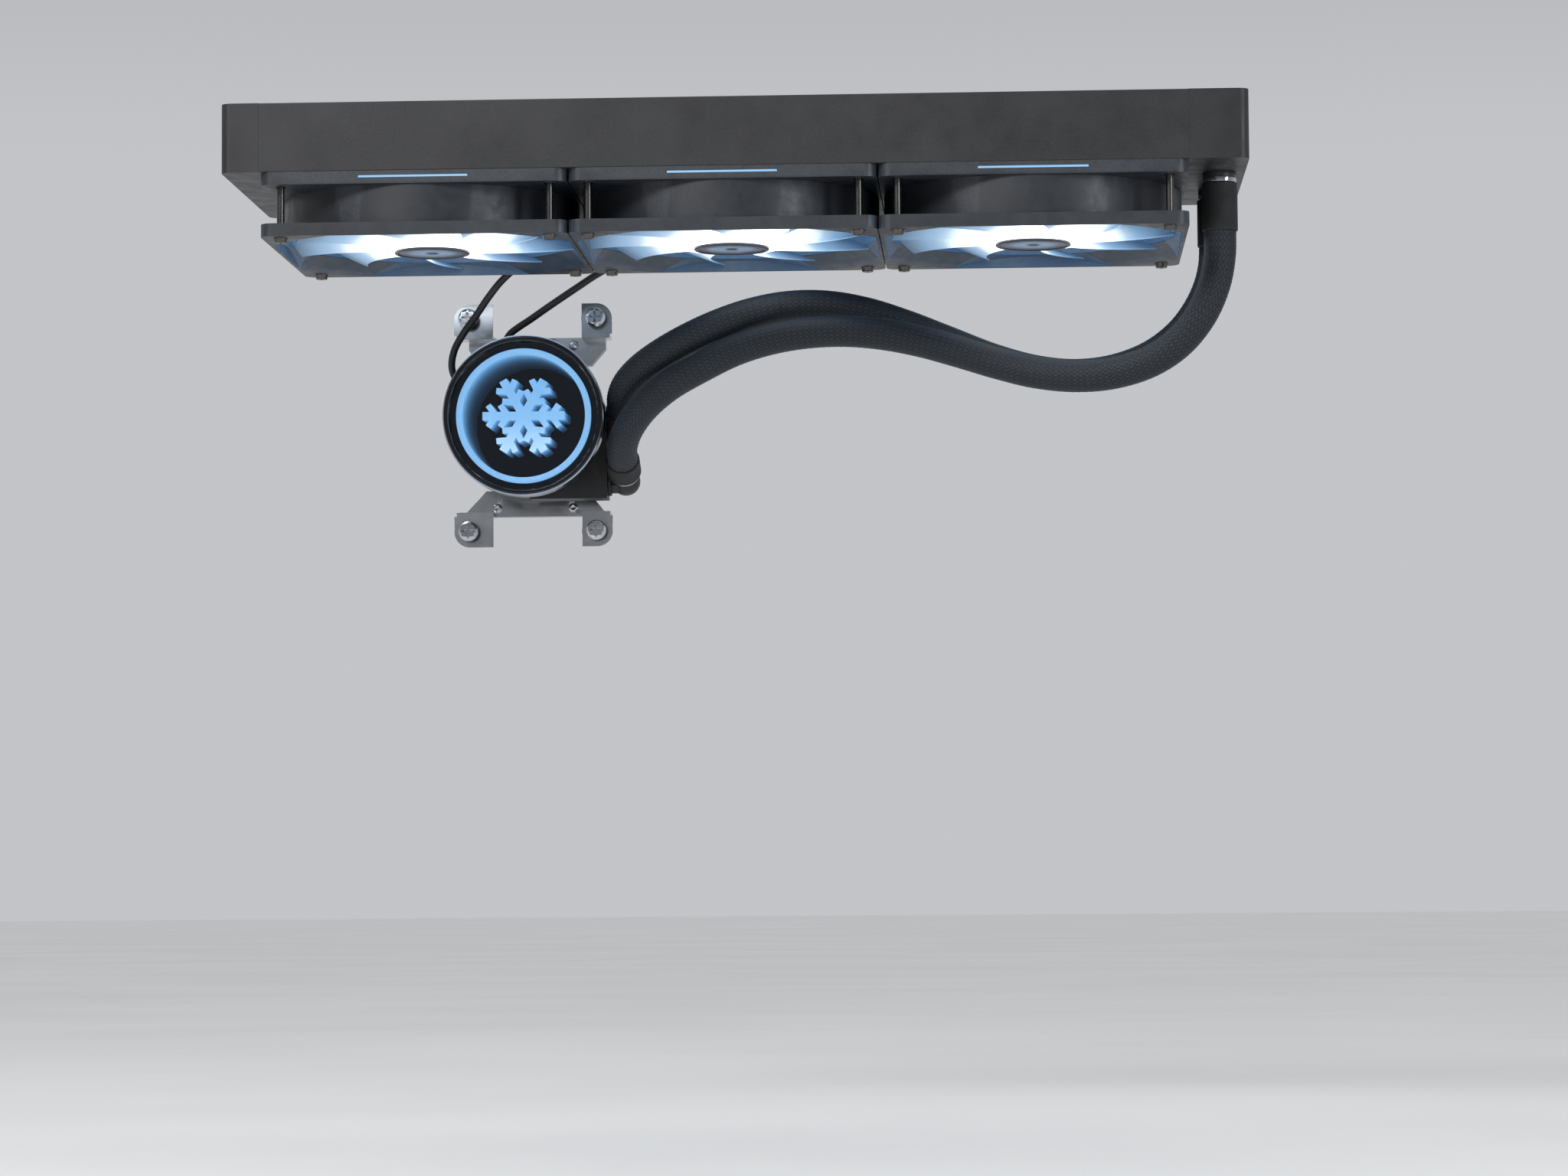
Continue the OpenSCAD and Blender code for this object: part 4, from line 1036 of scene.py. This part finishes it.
# Width of the softened edges of each node; a node that isn't listed keeps its own edges
EDGE = {
    "rail_front": 0.4, "rail_rear": 0.4, "port_tank": 0.8, "return_tank": 0.8, "fan_1_frame": 0.35,
    "fan_2_frame": 0.35, "fan_3_frame": 0.35, "pump_body": 0.5, "bracket_top": 0.3,
    "bracket_bottom": 0.3, "cap_bezel": 0.35, "hose_collars": 0.5, "hose_ferrules": 0.3,
    "mount_screws": 0.15, "fan_screws": 0.12, "bracket_screws": 0.1, "cold_plate": 0.3,
    "power_connector": 0.3, "light_connector": 0.3, "cable_ties": 0.2, "fill_plug": 0.2,
    "port_necks": 0.2, "emblem": 0.15,
}


def dress(node, mat, edge):
    """Gives a kept CAD node its material, and soft edges where edge is above zero."""
    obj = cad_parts[node]
    paint(obj, mat)
    weld = obj.modifiers.new("weld", "WELD")
    weld.merge_threshold = WELD_GAP * MM
    if edge:
        mod = obj.modifiers.new("soft_edges", "BEVEL")
        mod.width = edge * MM
        mod.segments = 2
        mod.limit_method = "ANGLE"
        mod.angle_limit = math.radians(SOFT_EDGE_ANGLE)
        mod.use_clamp_overlap = True
    obj.data.shade_smooth()
    normals = obj.modifiers.new("normals", "WEIGHTED_NORMAL")
    normals.keep_sharp = True


for key, nodes in FINISH.items():
    for node in nodes:
        dress(node, MAT[key], EDGE.get(node, 0))


# ------------------------------------------------------------------ floor and light
# Room light: its colour at each height of the sky, from the horizon to overhead
SKY = ((0.16, (0.5432, 0.5544, 0.5768)), (0.45, (0.097, 0.099, 0.103)),
       (0.85, (1.45, 1.47, 1.50)))
COOL_WHITE = (0.85, 0.92, 1.0)
AIM = (0, 0, -0.08)


def floor():
    """A large pale plane, well below the part."""
    half, z = 16.0, FLOOR_Z * MM
    mesh = bpy.data.meshes.new("floor")
    mesh.from_pydata([(-half, -half, z), (half, -half, z), (half, half, z), (-half, half, z)],
                     [], [(0, 1, 2, 3)])
    obj = bpy.data.objects.new("floor", mesh)
    bpy.context.scene.collection.objects.link(obj)
    m = Nodes("pale_floor")
    tint = m.ramp(m.noise(m.place(), 3.0, 4.0), ((0.3, (0.76, 0.76, 0.76)),
                                                 (0.7, (0.81, 0.81, 0.80))))
    m.principled(Base_Color=tint, Roughness=m.spread(m.noise(m.place(), 20.0), 0.3, 0.7, 0.6, 0.75))
    obj.data.materials.append(m.mat)


def area_light(name, place, aim, size, power, colour=(1.0, 1.0, 1.0)):
    """A soft area lamp at place, turned to aim. Both are in metres."""
    data = bpy.data.lights.new(name, "AREA")
    data.shape = "RECTANGLE"
    data.size, data.size_y = size
    data.energy = power
    data.color = colour
    obj = bpy.data.objects.new(name, data)
    obj.location = place
    obj.rotation_euler = (Vector(aim) - Vector(place)).to_track_quat("-Z", "Y").to_euler()
    bpy.context.scene.collection.objects.link(obj)


def lights():
    """Soft room light that is paler overhead and dimmer in front, and three soft lamps."""
    world = bpy.data.worlds.new("studio")
    world.use_nodes = True
    tree = world.node_tree
    back = tree.nodes["Background"]
    place = tree.nodes.new("ShaderNodeTexCoord")
    sep = tree.nodes.new("ShaderNodeSeparateXYZ")
    ramp = tree.nodes.new("ShaderNodeValToRGB")
    tree.links.new(place.outputs["Generated"], sep.inputs[0])
    tree.links.new(sep.outputs["Z"], ramp.inputs["Fac"])
    tree.links.new(ramp.outputs["Color"], back.inputs["Color"])
    dim = tree.nodes.new("ShaderNodeMapRange")
    for key, value in (("From Min", -0.3), ("From Max", 0.4), ("To Min", 0.45), ("To Max", 1.0)):
        dim.inputs[key].default_value = value
    tree.links.new(sep.outputs["Y"], dim.inputs["Value"])
    tree.links.new(dim.outputs["Result"], back.inputs["Strength"])
    ramp.color_ramp.elements.new(0.5)
    for element, (at, colour) in zip(ramp.color_ramp.elements, SKY):
        element.position = at
        element.color = (*colour, 1)
    bpy.context.scene.world = world
    area_light("key", (-0.9, -1.5, 0.9), AIM, (1.1, 0.5), 22.0)
    area_light("fill", (1.4, -1.1, 0.2), AIM, (0.4, 0.9), 8.0, COOL_WHITE)
    area_light("under", (-0.3, -0.7, -0.9), AIM, (1.2, 0.5), 5.0, COOL_WHITE)


floor()
lights()
bpy.context.scene.view_settings.view_transform = "Standard"
